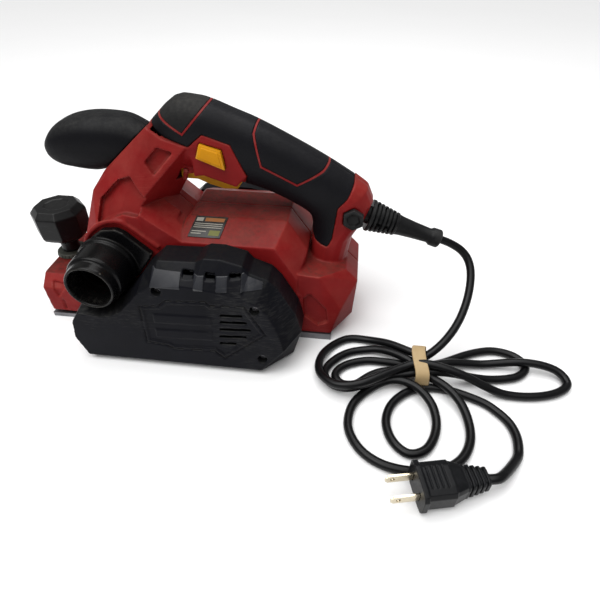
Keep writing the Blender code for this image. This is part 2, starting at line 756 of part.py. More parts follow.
def build_cutter():
    drum = node("cutter_drum", disc_y(DRUM_X, BLADE_CIRCLE, DRUM_RADIUS, -DRUM_HALF, DRUM_HALF, 40), "aluminium")
    add(drum, disc_y(DRUM_X, BLADE_CIRCLE, DRUM_SHAFT, BELT_BACK - 1.5, SIDE + 8.5, 20))
    for k, letter in enumerate("ab"):
        angle = 35 + 180 * k
        cut(drum, spin_box(-3.0, 4.0, -DRUM_HALF - 1, DRUM_HALF + 1, 11.0, 26, angle))
        blade = spin_box(-2.7, -1.5, -DRUM_HALF, DRUM_HALF, 14.0, BLADE_CIRCLE - 0.1, angle)
        node("blade_" + letter, blade, "steel")
        clamp = node("blade_clamp_" + letter, spin_box(-1.2, 3.7, -39.5, 39.5, 11.4, 20.8, angle), "dark_steel")
        for y in (-26.0, 0.0, 26.0):
            bm = lathe([(0, 1.6), (4, 1.6)], 6, (0, 0, 0), (0, 0, 1))
            bmesh.ops.translate(bm, vec=(1.3, y, 18.0), verts=bm.verts)
            turn = Matrix.Rotation(math.radians(angle), 3, "Y")
            bmesh.ops.rotate(bm, cent=(0, 0, 0), matrix=turn, verts=bm.verts)
            bmesh.ops.translate(bm, vec=(DRUM_X, 0, BLADE_CIRCLE), verts=bm.verts)
            cut(clamp, bm)
        tidy(clamp)
    tidy(drum, 30)


def bearing(name, x, z, outer, bore, y0, y1):
    """Both races and shields as one ring, stepped like a shielded bearing."""
    rows = [(0, outer - 2), (0.8, outer - 2), (0.8, outer), (y1 - y0 - 0.8, outer), (y1 - y0 - 0.8, outer - 2)]
    rows += [(y1 - y0, outer - 2)]
    node(name, lathe(rows, 18, (x, y0, z), (0, 1, 0), bore), "steel", 40)


PLATE = [(-58.0, 8.0), (-60.0, 34.0), (-46.0, 44.0), (10.0, 74.0), (38.0, 74.0), (46.0, 44.0), (40.0, 10.0)]


def build_drive():
    for name, side in HALVES:
        y0, y1 = sorted((side * (SIDE + 0.4), side * (SIDE + 7.6)))
        plate = node("bearing_plate_" + name, prism(PLATE, y0, y1), "aluminium")
        cut(plate, disc_y(DRUM_X, BLADE_CIRCLE, 14.3, -80, 80, 28), disc_y(MOTOR_X, MOTOR_Z, 11.3, -80, 80, 28))
        for x, z in COVER_SCREWS:
            cut(plate, disc_y(x, z, 5.2, -80, 80, 14))
        tidy(plate, 30)
        bearing("drum_bearing_" + name, DRUM_X, BLADE_CIRCLE, 14.0, DRUM_SHAFT + GAP, y0, y1)
        bearing("motor_bearing_" + name, MOTOR_X, MOTOR_Z, 11.0, MOTOR_SHAFT + GAP, y0, y1)

    width = BELT_FRONT - BELT_BACK
    for name, x, z, radius, bore in (
        ("drum_pulley", DRUM_X, BLADE_CIRCLE, DRUM_PULLEY, DRUM_SHAFT),
        ("motor_pulley", MOTOR_X, MOTOR_Z, MOTOR_PULLEY, MOTOR_SHAFT),
    ):
        rows = [(-2.0, radius + 2.2), (-0.3, radius + 2.2), (-0.3, radius), (width + 0.3, radius)]
        rows += [(width + 0.3, radius + 2.2), (width + 1.6, radius + 2.2)]
        node(name, lathe(rows, 20, (x, BELT_BACK, z), (0, 1, 0), bore + GAP), "aluminium", 30)
    node("drive_belt", belt_loop(), "rubber", 30)


def belt_loop():
    """The belt round both pulleys, from the direction in which each point faces outward."""
    centres = ((DRUM_X, BLADE_CIRCLE, DRUM_PULLEY), (MOTOR_X, MOTOR_Z, MOTOR_PULLEY))
    steps = 32
    loops = []
    for grow, y in ((GAP, BELT_BACK), (GAP + BELT_THICK, BELT_BACK), (GAP + BELT_THICK, BELT_FRONT), (GAP, BELT_FRONT)):
        loop = []
        for i in range(steps):
            a = 2 * math.pi * i / steps
            c, s = math.cos(a), math.sin(a)
            x, z, r = max(centres, key=lambda p: p[0] * c + p[1] * s + p[2])
            loop.append((x + (r + grow) * c, y, z + (r + grow) * s))
        loops.append(loop)
    verts = [p for loop in loops for p in loop]
    faces = []
    for k in range(4):
        m = (k + 1) % 4
        for i in range(steps):
            j = (i + 1) % steps
            faces.append((k * steps + i, k * steps + j, m * steps + j, m * steps + i))
    return fresh(verts, faces)


def build_motor():
    rows = [(BELT_BACK - 6.0, MOTOR_SHAFT), (-25.0, MOTOR_SHAFT), (-25.0, 12.0), (-22.0, 15.0), (-22.0, CORE_RADIUS)]
    rows += [(14.0, CORE_RADIUS), (14.0, 15.0), (17.0, 12.0), (22.0, 9.0), (26.4, 9.0)]
    rows += [(26.4, COMMUTATOR_RADIUS), (36.4, COMMUTATOR_RADIUS), (36.4, MOTOR_SHAFT), (SIDE + 8.0, MOTOR_SHAFT)]
    armature = node("armature", lathe(rows, 24, (MOTOR_X, 0, MOTOR_Z), (0, 1, 0)), "dark_steel")
    add(armature, prism(hexagon(MOTOR_X, MOTOR_Z, 7.0), BELT_BACK - 5.5, BELT_BACK - 2.4))
    tidy(armature, 35)
    stator = node("stator", disc_y(MOTOR_X, MOTOR_Z, STATOR_RADIUS, -22, 14, 36, STATOR_BORE), "dark_steel")
    for turn in (-1, 1):
        cut(stator, box(MOTOR_X - 4, MOTOR_X + 4, -40, 40, *sorted((MOTOR_Z + turn * 30.4, MOTOR_Z + turn * 40))))
    tidy(stator, 35)
    fan = node("fan", disc_y(MOTOR_X, MOTOR_Z, 27.0, -39.5, -37.5, 30, MOTOR_SHAFT + GAP), "grey")
    add(fan, disc_y(MOTOR_X, MOTOR_Z, 9.0, -38, -29.5, 20, MOTOR_SHAFT + GAP))
    for k in range(8):
        bm = box(8.0, 26.0, -38.0, -30.5, -0.8, 0.8)
        turn = Matrix.Rotation(math.radians(45 * k + 10), 3, "Y")
        bmesh.ops.rotate(bm, cent=(0, 0, 0), matrix=turn, verts=bm.verts)
        bmesh.ops.translate(bm, vec=(MOTOR_X, 0, MOTOR_Z), verts=bm.verts)
        add(fan, bm)
    tidy(fan, 35)
    for name, side in (("front", -1), ("rear", 1)):
        x0, x1 = sorted((MOTOR_X + side * (COMMUTATOR_RADIUS + 0.4), MOTOR_X + side * 24))
        node("brush_" + name, box(x0, x1, 28, 34.6, MOTOR_Z - 3, MOTOR_Z + 3), "carbon")
        x0, x1 = sorted((MOTOR_X + side * 14, MOTOR_X + side * 28))
        holder = node("brush_holder_" + name, box(x0, x1, 25.5, 37, MOTOR_Z - 5.5, MOTOR_Z + 5.5), "brass")
        x0, x1 = sorted((MOTOR_X, MOTOR_X + side * 26))
        cut(holder, box(x0, x1, 28 - GAP, 34.6 + GAP, MOTOR_Z - 3.3, MOTOR_Z + 3.3))
        tidy(holder)


TRIGGER = [(-15.0, 122.0), (-14.0, 115.5), (-2.0, 109.0), (17.0, 108.2), (26.0, 111.5), (29.5, 117.0), (29.5, 126.0)]
TRIGGER += [(20.0, 127.5), (-8.0, 131.5), (-15.0, 129.0)]
TRIGGER_PIVOT = (-10.5, 126.5)


def build_controls():
    trigger = node("trigger", prism(TRIGGER, -6.8, 6.8), "yellow")
    cut(trigger, disc_y(*TRIGGER_PIVOT, 1.8, -10, 10, 12))
    tidy(trigger)
    node("trigger_pin", disc_y(*TRIGGER_PIVOT, 1.5, -12.0, 12.0, 12), "steel", 40)
    switch = box(-4.0, 34.0, -9.0, 9.0, 137.0, 153.0)
    node("switch", switch, "black")
    node("trigger_spring", coil(20.0, 0.0, 128.3, 136.6, 3.2, 0.55, 4), "steel", 60)
    node("lock_button", prism(BUTTON, -20.6, -12.2), "yellow")
    for name, side in HALVES:
        y0, y1 = sorted((side * (15.5 + GAP), side * 19.3))
        if side < 0:
            node("column_cap", prism(hexagon(112.0, 98.7, HEX_SIZE), y0, y1), "black")


def coil(x, y, z0, z1, radius, wire, turns, around=6, steps=12):
    loops = []
    total = turns * steps
    for k in range(total + 1):
        a = 2 * math.pi * k / steps
        z = z0 + wire + (z1 - z0 - 2 * wire) * k / total
        centre = Vector((x + radius * math.cos(a), y + radius * math.sin(a), z))
        out = Vector((math.cos(a), math.sin(a), 0))
        loop = []
        for i in range(around):
            b = 2 * math.pi * i / around
            loop.append(centre + out * wire * math.cos(b) + Vector((0, 0, 1)) * wire * math.sin(b))
        loops.append(loop)
    return rings(loops)


def build_sleeve():
    rows = [(-4.0, 7.0), (1.3, 7.0), (1.3, 12.0), (4.0, 12.0)]
    along = 4.0
    for k in range(4):
        rows += [(along, 9.6 - 0.3 * k), (along + 1.4, 9.6 - 0.3 * k), (along + 1.4, 11.6 - 0.5 * k)]
        rows += [(along + 3.6, 11.4 - 0.5 * k)]
        along += 3.6
    rows += [(along, 9.0), (SLEEVE_LENGTH - 9.0, 6.0), (SLEEVE_LENGTH - 7.5, SLEEVE_RIM)]
    rows += [(SLEEVE_LENGTH, SLEEVE_RIM)]
    sleeve = lathe(rows, 18, SLEEVE_ROOT, sleeve_axis(), CORD_RADIUS + GAP)
    node("cord_sleeve", sleeve, "rubber", 40)


# Cord: the way it hangs from the sleeve to the hank, and from the hank to the plug.
LEAD = [(190.0, 0.0, 72.5), (201.0, -3.0, 66.0), (206.0, -12.0, 57.0), (205.0, -26.0, 45.0), (199.0, -42.0, 33.0)]
LEAD += [(191.0, -52.0, 26.5)]
TAIL_ROUTE = [(212.0, -95.0, 4.0), (221.0, -101.0, 3.6), (228.5, -110.0, 3.4), (231.0, -122.0, 3.4)]
TAIL_ROUTE += [(228.5, -136.0, 4.2), (221.0, -147.5, 7.0)]
PLUG_BACK = (203.0, -158.5)
PLUG_FRONT = (160.5, -168.5)
PLUG_Z = 10.4
HANK_TOP = 22.0
BAND = (166.0, 176.0, -91.0, -54.0)


def smooth_route(points, steps):
    """Points read from a Catmull-Rom curve through these."""
    pts = [Vector(p) for p in points]
    pts = [pts[0] * 2 - pts[1], *pts, pts[-1] * 2 - pts[-2]]
    made = []
    for k in range(1, len(pts) - 2):
        a, b, c, d = pts[k - 1 : k + 3]
        for i in range(steps):
            t = i / steps
            made.append(0.5 * (2 * b + (c - a) * t + (2 * a - 5 * b + 4 * c - d) * t**2 + (3 * b - a - 3 * c + d) * t**3))
    made.append(pts[-2])
    return made


def tube(name, points, radius):
    data = bpy.data.curves.new(name, "CURVE")
    data.dimensions = "3D"
    spline = data.splines.new("POLY")
    spline.points.add(len(points) - 1)
    for point, place in zip(spline.points, points):
        point.co = (*(place * MM), 1.0)
    data.bevel_depth = radius * MM
    data.bevel_resolution = 2
    data.use_fill_caps = True
    obj = bpy.data.objects.new(name, data)
    bpy.context.scene.collection.objects.link(obj)
    data.materials.append(look("rubber"))
    obj.parent = bpy.data.objects["tool_frame"]
    return obj


def flat_arc(x, y, radius, start, end, steps):
    spread = [math.radians(start + (end - start) * i / steps) for i in range(steps + 1)]
    return [(x + radius * math.cos(a), y + radius * math.sin(a)) for a in spread]


def slab(outline, z0, z1):
    return hull([(x, y, z) for x, y in outline for z in (z0, z1)])


def build_cord():
    start = sleeve_point(SLEEVE_LENGTH - 14)
    tube("cord_lead", smooth_route([start, sleeve_point(SLEEVE_LENGTH - 1), *LEAD], 3), CORD_RADIUS)
    x0, x1, y0, y1 = BAND
    hank = node("cord_hank", slab(flat_arc(125, -71, 31, 90, 270, 12) + [(x0, y0 + 2), (x0, y1 - 2)], 0, HANK_TOP), "rubber")
    add(hank, slab(flat_arc(263, -67, 21, -90, 90, 10) + [(x0, y0 + 2.3), (x0, y1 - 2.3)], 0, HANK_TOP))
    add(hank, slab(flat_arc(148, -121, 34, 0, 345, 23), 0, HANK_TOP))
    add(hank, slab([(184, -70), (206, -88), (207, -128), (202, -142), (192, -150), (184, -148)], 0, HANK_TOP))
    ring = [(x0 - GAP, x1 + GAP, y0 - 9, y0 + 2.3, -1, 40), (x0 - GAP, x1 + GAP, y1 - 2.3, y1 + 9, -1, 40)]
    ring += [(x0 - GAP, x1 + GAP, y0 - 9, y1 + 9, -1, 2.3), (x0 - GAP, x1 + GAP, y0 - 9, y1 + 9, HANK_TOP - 2.3, 40)]
    for sizes in ring:
        cut(hank, box(*sizes))
    tidy(hank)
    band = node("cord_band", box(x0, x1, y0, y1, 0, HANK_TOP), "band")
    cut(band, box(x0 - 5, x1 + 5, y0 + 2, y1 - 2, 2, HANK_TOP - 2))
    tidy(band)
    back = Vector((*PLUG_BACK, PLUG_Z))
    tail = [Vector(p) for p in TAIL_ROUTE] + [back - plug_axis() * 6.0, back - plug_axis() * 0.6]
    tube("cord_tail", smooth_route(tail, 3), CORD_RADIUS)
    build_plug()


def plug_axis():
    return (Vector((*PLUG_FRONT, 0)) - Vector((*PLUG_BACK, 0))).normalized()


def plug_block(x0, x1, half, tall, x1_half=None, x1_tall=None):
    """A tapering block along local X, from the back end of the plug (0) to its front."""
    points = []
    for along, w, h in ((x0, half, tall), (x1, x1_half or half, x1_tall or tall)):
        for sy, sz in ((0.6, 1), (1, 0.6)):
            points += [(along, w * sy * a, h * sz * b) for a in (-1, 1) for b in (-1, 1)]
    return hull(points)


def on_plug(obj):
    axis = plug_axis()
    obj.location = Vector((*PLUG_BACK, PLUG_Z)) * MM
    obj.rotation_euler = (0, 0, math.atan2(axis.y, axis.x))
    return obj


def build_plug():
    length = (Vector(PLUG_FRONT) - Vector(PLUG_BACK)).length
    plug = node("plug", plug_block(0, 17, 5.0, 5.0, 8.0, 7.0), "black")
    for k in range(4):
        add(plug, plug_block(1.5 + 3.8 * k, 3.9 + 3.8 * k, 6.6 + 0.7 * k, 6.4 + 0.5 * k))
    add(plug, plug_block(16.5, 26, 9.5, 8.5, 12.0, 9.2), plug_block(25, length - 2.0, 12.3, 9.4))
    add(plug, plug_block(length - 3.5, length, 13.6, 10.3))
    for name, y in (("a", -6.35), ("b", 6.35)):
        cut(plug, box(length - 3.3, length + 5, y - 1.05, y + 1.05, -3.5, 3.5))
        on_plug(node("plug_blade_" + name, box(length - 3, length + 17, y - 0.75, y + 0.75, -3.2, 3.2), "brass"))
    on_plug(tidy(plug))


def build_label():
    """A thin plate on the near slope of the bulge."""
    slope = Vector((0, -(SIDE - 21.0), 86.0 - CREST)).normalized()
    out = Vector((0, slope.z, -slope.y)).normalized()
    start = Vector((-4.0, -21.0, CREST)) + slope * 0.8 + out * 0.3
    corners = [start, start + Vector((24, 0, 0)), start + Vector((21, 0, 0)) + slope * 19]
    corners.append(start + Vector((-3, 0, 0)) + slope * 19)
    node("label", hull([c + out * t for c in corners for t in (0, 0.4)]), "label")


def main():
    clear()
    bpy.context.scene.unit_settings.system = "METRIC"
    bpy.context.scene.unit_settings.scale_length = 1.0
    frame = bpy.data.objects.new("tool_frame", None)
    bpy.context.scene.collection.objects.link(frame)
    frame.location = (X_SHIFT * MM, Y_SHIFT * MM, 0)
    build_housing()
    build_screws()
    build_grip()
    build_horn()
    build_depth_control()
    build_covers()
    build_dust_path()
    build_cutter()
    build_drive()
    build_motor()
    build_controls()
    build_sleeve()
    build_label()
    build_cord()


main()
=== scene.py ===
"""Electric hand planer on a white floor: the moulded shells, covers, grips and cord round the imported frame.

Tables are in millimetres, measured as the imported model's own solids are: x = 0 near the middle of the sole,
y = 0 on the seam between the shells, z = 0 on the floor. Objects are in metres.
"""

import math

import bmesh
import bpy
from mathutils import Matrix, Vector


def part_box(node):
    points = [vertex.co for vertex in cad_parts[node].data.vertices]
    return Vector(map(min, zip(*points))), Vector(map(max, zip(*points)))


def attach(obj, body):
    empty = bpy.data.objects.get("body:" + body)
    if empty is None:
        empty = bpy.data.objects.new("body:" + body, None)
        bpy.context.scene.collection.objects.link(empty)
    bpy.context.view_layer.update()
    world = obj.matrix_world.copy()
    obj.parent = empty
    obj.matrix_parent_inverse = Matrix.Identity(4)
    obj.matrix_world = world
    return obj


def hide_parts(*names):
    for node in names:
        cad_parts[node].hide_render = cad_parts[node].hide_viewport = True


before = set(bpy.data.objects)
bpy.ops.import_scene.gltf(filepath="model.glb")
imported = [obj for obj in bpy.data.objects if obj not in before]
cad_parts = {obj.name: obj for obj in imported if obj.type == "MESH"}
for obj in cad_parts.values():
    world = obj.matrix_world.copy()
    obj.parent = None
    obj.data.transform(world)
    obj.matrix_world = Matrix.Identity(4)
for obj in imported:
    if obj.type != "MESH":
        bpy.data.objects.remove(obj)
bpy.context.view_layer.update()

MM = 0.001
REAR_SHOE_FRONT = -21.0  # tool x of the rear shoe's front edge
low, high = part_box("rear_shoe")
SHIFT = Vector((low[0] - REAR_SHOE_FRONT * MM, (low[1] + high[1]) / 2, 0.0))
COARSE = 1.0


def place(p):
    return Vector(p) * MM + SHIFT


def link(name, data):
    obj = bpy.data.objects.new(name, data)
    bpy.context.scene.collection.objects.link(obj)
    return obj


# Camera

CAMERA_AT = (107.06, -305.46, 264.65)
CAMERA_ANGLES = (6.69, 40.41, -0.33)  # yaw, pitch down and roll, in degrees
FOCAL_LENGTH = 447.43 / 600  # as a share of the picture's width
SENSOR_WIDTH = 36

camera_data = bpy.data.cameras.new("camera")
camera = link("camera", camera_data)
yaw, pitch, roll = (math.radians(a) for a in CAMERA_ANGLES)
forward = Vector((-math.sin(yaw) * math.cos(pitch), math.cos(yaw) * math.cos(pitch), -math.sin(pitch)))
level = Vector((math.cos(yaw), math.sin(yaw), 0))
down = forward.cross(level)
right = level * math.cos(roll) + down * math.sin(roll)
down = down * math.cos(roll) - level * math.sin(roll)
turn = Matrix((right, -down, -forward)).transposed().to_4x4()
camera.matrix_world = Matrix.Translation(place(CAMERA_AT)) @ turn
camera_data.sensor_width = SENSOR_WIDTH
camera_data.lens = FOCAL_LENGTH * SENSOR_WIDTH
camera_data.clip_start = 0.01
bpy.context.scene.camera = camera


# Materials


def nodes_of(name):
    made = bpy.data.materials.new(name)
    made.use_nodes = True
    tree = made.node_tree
    return made, tree, tree.nodes["Principled BSDF"]


class Net:
    """Short names for adding and joining shader nodes."""

    def __init__(self, tree):
        self.tree = tree
        self.place = self.add("ShaderNodeTexCoord").outputs["Object"]
        self.geometry = self.add("ShaderNodeNewGeometry")

    def add(self, kind, **values):
        made = self.tree.nodes.new(kind)
        for key, value in values.items():
            setattr(made, key, value)
        return made

    def set(self, socket, value):
        if isinstance(value, bpy.types.NodeSocket):
            self.tree.links.new(value, socket)
        elif socket.type == "RGBA" and len(value) == 3:
            socket.default_value = (*value, 1.0)
        else:
            socket.default_value = value

    def noise(self, scale, detail=4.0, rough=0.55, stretch=None, distortion=0.0):
        node = self.add("ShaderNodeTexNoise")
        place = self.place
        if stretch:
            mapping = self.add("ShaderNodeMapping")
            self.set(mapping.inputs["Vector"], place)
            mapping.inputs["Scale"].default_value = stretch
            place = mapping.outputs[0]
        self.set(node.inputs["Vector"], place)
        node.inputs["Scale"].default_value = scale
        node.inputs["Detail"].default_value = detail
        node.inputs["Roughness"].default_value = rough
        node.inputs["Distortion"].default_value = distortion
        return node.outputs["Fac"]

    def ramp(self, value, *stops):
        node = self.add("ShaderNodeValToRGB")
        self.set(node.inputs["Fac"], value)
        while len(node.color_ramp.elements) < len(stops):
            node.color_ramp.elements.new(0.5)
        for element, (at, grey) in zip(node.color_ramp.elements, stops):
            element.position = at
            element.color = (grey, grey, grey, 1) if isinstance(grey, (int, float)) else (*grey, 1)
        return node.outputs["Color"]

    def maths(self, kind, a, b=0.5):
        node = self.add("ShaderNodeMath", operation=kind)
        self.set(node.inputs[0], a)
        self.set(node.inputs[1], b)
        return node.outputs[0]

    def mix(self, factor, a, b):
        node = self.add("ShaderNodeMix", data_type="RGBA")
        self.set(node.inputs["Factor"], factor)
        self.set(node.inputs["A"], a)
        self.set(node.inputs["B"], b)
        return node.outputs["Result"]

    def up(self, low, high):
        """0 on walls, 1 on faces that look up."""
        split = self.add("ShaderNodeSeparateXYZ")
        self.set(split.inputs[0], self.geometry.outputs["Normal"])
        return self.ramp(split.outputs["Z"], (low, 0.0), (high, 1.0))

    def edges(self):
        return self.ramp(self.geometry.outputs["Pointiness"], (0.52, 0.0), (0.58, 1.0))

    def hollows(self):
        return self.ramp(self.geometry.outputs["Pointiness"], (0.42, 1.0), (0.49, 0.0))

    def times(self, a, b):
        return self.maths("MULTIPLY", a, b)

    def bump(self, height, strength, distance=0.0003, normal=None):
        node = self.add("ShaderNodeBump")
        self.set(node.inputs["Height"], height)
        node.inputs["Strength"].default_value = strength
        node.inputs["Distance"].default_value = distance
        if normal:
            self.set(node.inputs["Normal"], normal)
        return node.outputs["Normal"]


def set_roughness(net, shader, first, second, share, rough):
    """Roughness between two ends, from two noises weighed against each other."""
    both = net.maths("ADD", net.times(first, share), net.times(second, 1 - share))
    net.set(shader.inputs["Roughness"], net.ramp(both, (0.3, rough[0]), (0.7, rough[1])))


def moulded(
    name, base, shade, rough=(0.38, 0.55), grain=900, grain_depth=0.25, dust_and_shadow=None, dust_and_shadow_amount=0.5,
    dust_and_shadow_from=(0.1, 0.95), bloom=None, bloom_amount=0.3, wear=None, wear_amount=0.5, grime_and_hollow_shade=None, scratch=0.3,
    spec=0.5, blotch=28,
):
    """A moulded plastic or rubber: mottled, grained, scratched, worn at edges, dusty on top and grimy in hollows;
    where those colours are darker than the base they are painted shade.
    """
    made, tree, shader = nodes_of(name)
    net = Net(tree)
    cloud = net.noise(blotch, 6, 0.6)
    colour = net.mix(net.ramp(cloud, (0.3, 0.0), (0.72, 1.0)), base, shade)
    fine = net.noise(grain, 3, 0.6)
    lines = net.noise(140, 5, 0.7, (1.0, 1.0, 9.0), 0.4)
    scuffs = net.ramp(net.times(lines, net.noise(16, 3)), (0.3, 0.0), (0.4, 1.0))
    # Colour in hollows: grime where the given colour is lighter than the base, painted shade where it is darker.
    if grime_and_hollow_shade:
        grime_and_shade_mask = net.times(net.hollows(), net.ramp(net.noise(60, 4), (0.35, 0.2), (0.6, 1.0)))
        colour = net.mix(net.times(grime_and_shade_mask, 0.75), colour, grime_and_hollow_shade)
    if wear:
        rubbed = net.times(net.edges(), net.ramp(net.noise(95, 5, 0.65), (0.4, 0.0), (0.62, 1.0)))
        colour = net.mix(net.times(rubbed, wear_amount), colour, wear)
    if bloom:
        film = net.times(net.up(0.0, 0.75), net.ramp(net.noise(46, 7, 0.66), (0.34, 0.1), (0.66, 1.0)))
        colour = net.mix(net.times(film, bloom_amount), colour, bloom)
    # Colour on faces that look up: dust; the red shell's dark brown here is partly dust and partly painted shadow
    # of the handle above.
    if dust_and_shadow:
        patchy = net.ramp(net.noise(34, 8, 0.68), (0.28, 0.25), (0.68, 1.0))
        speckle = net.ramp(net.noise(330, 4, 0.7), (0.42, 0.4), (0.7, 1.0))
        dust_and_shadow_mask = net.times(net.times(net.up(*dust_and_shadow_from), patchy), speckle)
        colour = net.mix(net.times(dust_and_shadow_mask, dust_and_shadow_amount), colour, dust_and_shadow)
    colour = net.mix(net.times(scuffs, scratch * 0.25), colour, wear or shade)
    net.set(shader.inputs["Base Color"], colour)
    set_roughness(net, shader, cloud, fine, 0.6, rough)
    shader.inputs["Specular IOR Level"].default_value = spec
    first = net.bump(fine, grain_depth, 0.00012)
    second = net.bump(net.times(scuffs, -1.0), scratch * 0.35, 0.0001, first)
    net.set(shader.inputs["Normal"], net.bump(cloud, 0.12, 0.0006, second))
    return made


def metal(name, base, shade, rough=(0.2, 0.42), tarnish=None):
    """A metal with fine brushed lines, cloudy colour and spots of tarnish."""
    made, tree, shader = nodes_of(name)
    net = Net(tree)
    lines = net.noise(420, 4, 0.7, (1.0, 14.0, 1.0))
    cloud = net.noise(45, 6, 0.6)
    colour = net.mix(net.ramp(cloud, (0.3, 0.0), (0.7, 1.0)), base, shade)
    if tarnish:
        spots = net.ramp(net.noise(130, 5, 0.7), (0.55, 0.0), (0.72, 1.0))
        colour = net.mix(net.times(spots, 0.45), colour, tarnish)
    net.set(shader.inputs["Base Color"], colour)
    shader.inputs["Metallic"].default_value = 1.0
    set_roughness(net, shader, lines, cloud, 0.5, rough)
    net.set(shader.inputs["Normal"], net.bump(lines, 0.2, 0.00008))
    return made


def ink(name, base, shade, dust_and_shadow):
    return moulded(name, base, shade, grain=600, dust_and_shadow=dust_and_shadow, scratch=0.8, spec=0.2)


# On the red shell the dark brown on faces that look up is partly dust and partly painted shadow under the handle;
# the dark red in hollows is painted shade.
RED = moulded(
    "red_shell", (0.245, 0.0105, 0.011), (0.165, 0.0065, 0.007), rough=(0.34, 0.52), grain=1500,
    grain_depth=0.1, dust_and_shadow=(0.03, 0.024, 0.018), dust_and_shadow_amount=1.0, dust_and_shadow_from=(0.8, 0.97),
    bloom=(0.34, 0.1, 0.075), bloom_amount=0.26, wear=(0.42, 0.11, 0.085), wear_amount=0.55,
    grime_and_hollow_shade=(0.026, 0.005, 0.004), scratch=0.35, spec=0.1,
)
BLACK = moulded(
    "black_cover", (0.004, 0.0042, 0.0072), (0.0024, 0.0025, 0.0042), rough=(0.3, 0.5), grain=1300,
    grain_depth=0.12, dust_and_shadow=(0.017, 0.017, 0.0135), dust_and_shadow_amount=0.6, dust_and_shadow_from=(0.45, 0.8),
    wear=(0.085, 0.083, 0.078), grime_and_hollow_shade=(0.018, 0.016, 0.012), scratch=0.8, spec=0.1,
)
# The cover's black made lighter and glossier for the facets: painted light on them; its darker colour in hollows
# is painted shade.
PAINTED_LIT_FACET = moulded(
    "black_facet_painted_lit", (0.013, 0.014, 0.019), (0.008, 0.0085, 0.012), rough=(0.26, 0.42), grain=1300,
    grain_depth=0.1, dust_and_shadow=(0.03, 0.03, 0.03), dust_and_shadow_amount=0.35, dust_and_shadow_from=(0.2, 0.9),
    wear=(0.1, 0.1, 0.1), wear_amount=0.6, grime_and_hollow_shade=(0.01, 0.01, 0.01), scratch=0.8, spec=0.3,
)
HORN_RUBBER = moulded(
    "horn_rubber", (0.005, 0.005, 0.0066), (0.0032, 0.0032, 0.0042), rough=(0.42, 0.62), grain=560,
    grain_depth=1.0, dust_and_shadow=(0.04, 0.04, 0.038), dust_and_shadow_amount=0.75, dust_and_shadow_from=(0.42, 0.8),
    wear=(0.03, 0.03, 0.03), wear_amount=0.4, scratch=0.2, spec=0.1,
)
GLOSS = moulded(
    "black_port", (0.003, 0.003, 0.0036), (0.002, 0.002, 0.0024), rough=(0.17, 0.34), grain=1300,
    grain_depth=0.05, dust_and_shadow=(0.024, 0.022, 0.018), dust_and_shadow_amount=0.3, dust_and_shadow_from=(0.2, 0.9),
    wear=(0.13, 0.12, 0.1), wear_amount=0.7, grime_and_hollow_shade=(0.014, 0.012, 0.009), scratch=0.5, spec=0.15,
)
KNOB = moulded(
    "black_knob", (0.0042, 0.0042, 0.0048), (0.003, 0.003, 0.0034), rough=(0.24, 0.42), grain_depth=0.1,
    dust_and_shadow=(0.035, 0.035, 0.032), dust_and_shadow_amount=0.4, wear=(0.07, 0.07, 0.072), wear_amount=0.6, scratch=0.5,
    spec=0.2,
)
RUBBER = moulded(
    "grip_rubber", (0.0052, 0.0052, 0.0072), (0.0034, 0.0034, 0.0046), rough=(0.4, 0.6), grain=620,
    grain_depth=0.9, dust_and_shadow=(0.026, 0.025, 0.026), dust_and_shadow_amount=0.35, wear=(0.03, 0.03, 0.03), wear_amount=0.4,
    scratch=0.2, spec=0.13,
)
CAP = moulded(
    "cap_rubber", (0.012, 0.012, 0.0125), (0.007, 0.007, 0.0074), rough=(0.5, 0.72), grain=520,
    grain_depth=0.9, dust_and_shadow=(0.05, 0.047, 0.042), dust_and_shadow_amount=0.7, wear=(0.045, 0.044, 0.042), wear_amount=0.4,
    spec=0.14,
)
CORD = moulded(
    "cord_sheath", (0.0024, 0.0024, 0.003), (0.0016, 0.0016, 0.002), rough=(0.26, 0.42), grain=1000,
    grain_depth=0.08, dust_and_shadow=(0.014, 0.014, 0.014), dust_and_shadow_amount=0.25, blotch=60, spec=0.22,
)
PLUG_BLACK = moulded(
    "plug_black", (0.0036, 0.0038, 0.0046), (0.0024, 0.0026, 0.003), rough=(0.28, 0.46), grain=800,
    grain_depth=0.15, dust_and_shadow=(0.022, 0.023, 0.026), dust_and_shadow_amount=0.3, wear=(0.045, 0.046, 0.05), scratch=0.5,
    spec=0.16,
)
# The darker yellow in hollows is painted shade.
YELLOW = moulded(
    "yellow_button", (0.7, 0.3, 0.003), (0.58, 0.235, 0.002), rough=(0.36, 0.52), grain_depth=0.12,
    dust_and_shadow=(0.4, 0.24, 0.05), dust_and_shadow_amount=0.2, wear=(0.7, 0.42, 0.08), grime_and_hollow_shade=(0.16, 0.06, 0.004), spec=0.12,
)
# The darker ochre in hollows is painted shade.
OCHRE = moulded(
    "yellow_trigger", (0.56, 0.25, 0.005), (0.42, 0.18, 0.004), rough=(0.42, 0.6), grain_depth=0.15,
    dust_and_shadow=(0.25, 0.16, 0.07), dust_and_shadow_amount=0.3, grime_and_hollow_shade=(0.08, 0.04, 0.008), spec=0.22,
)
# The darker grey in hollows, such as the cut ticks, is painted shade.
DIAL = moulded(
    "grey_dial", (0.05, 0.056, 0.044), (0.032, 0.036, 0.03), rough=(0.45, 0.62), grain=800, grain_depth=0.2,
    dust_and_shadow=(0.11, 0.11, 0.095), wear=(0.12, 0.12, 0.1), grime_and_hollow_shade=(0.012, 0.012, 0.01), scratch=0.4, spec=0.25,
)
GREY = moulded("grey_plastic", (0.2, 0.21, 0.19), (0.14, 0.15, 0.14), grain=800, dust_and_shadow=(0.3, 0.28, 0.25))
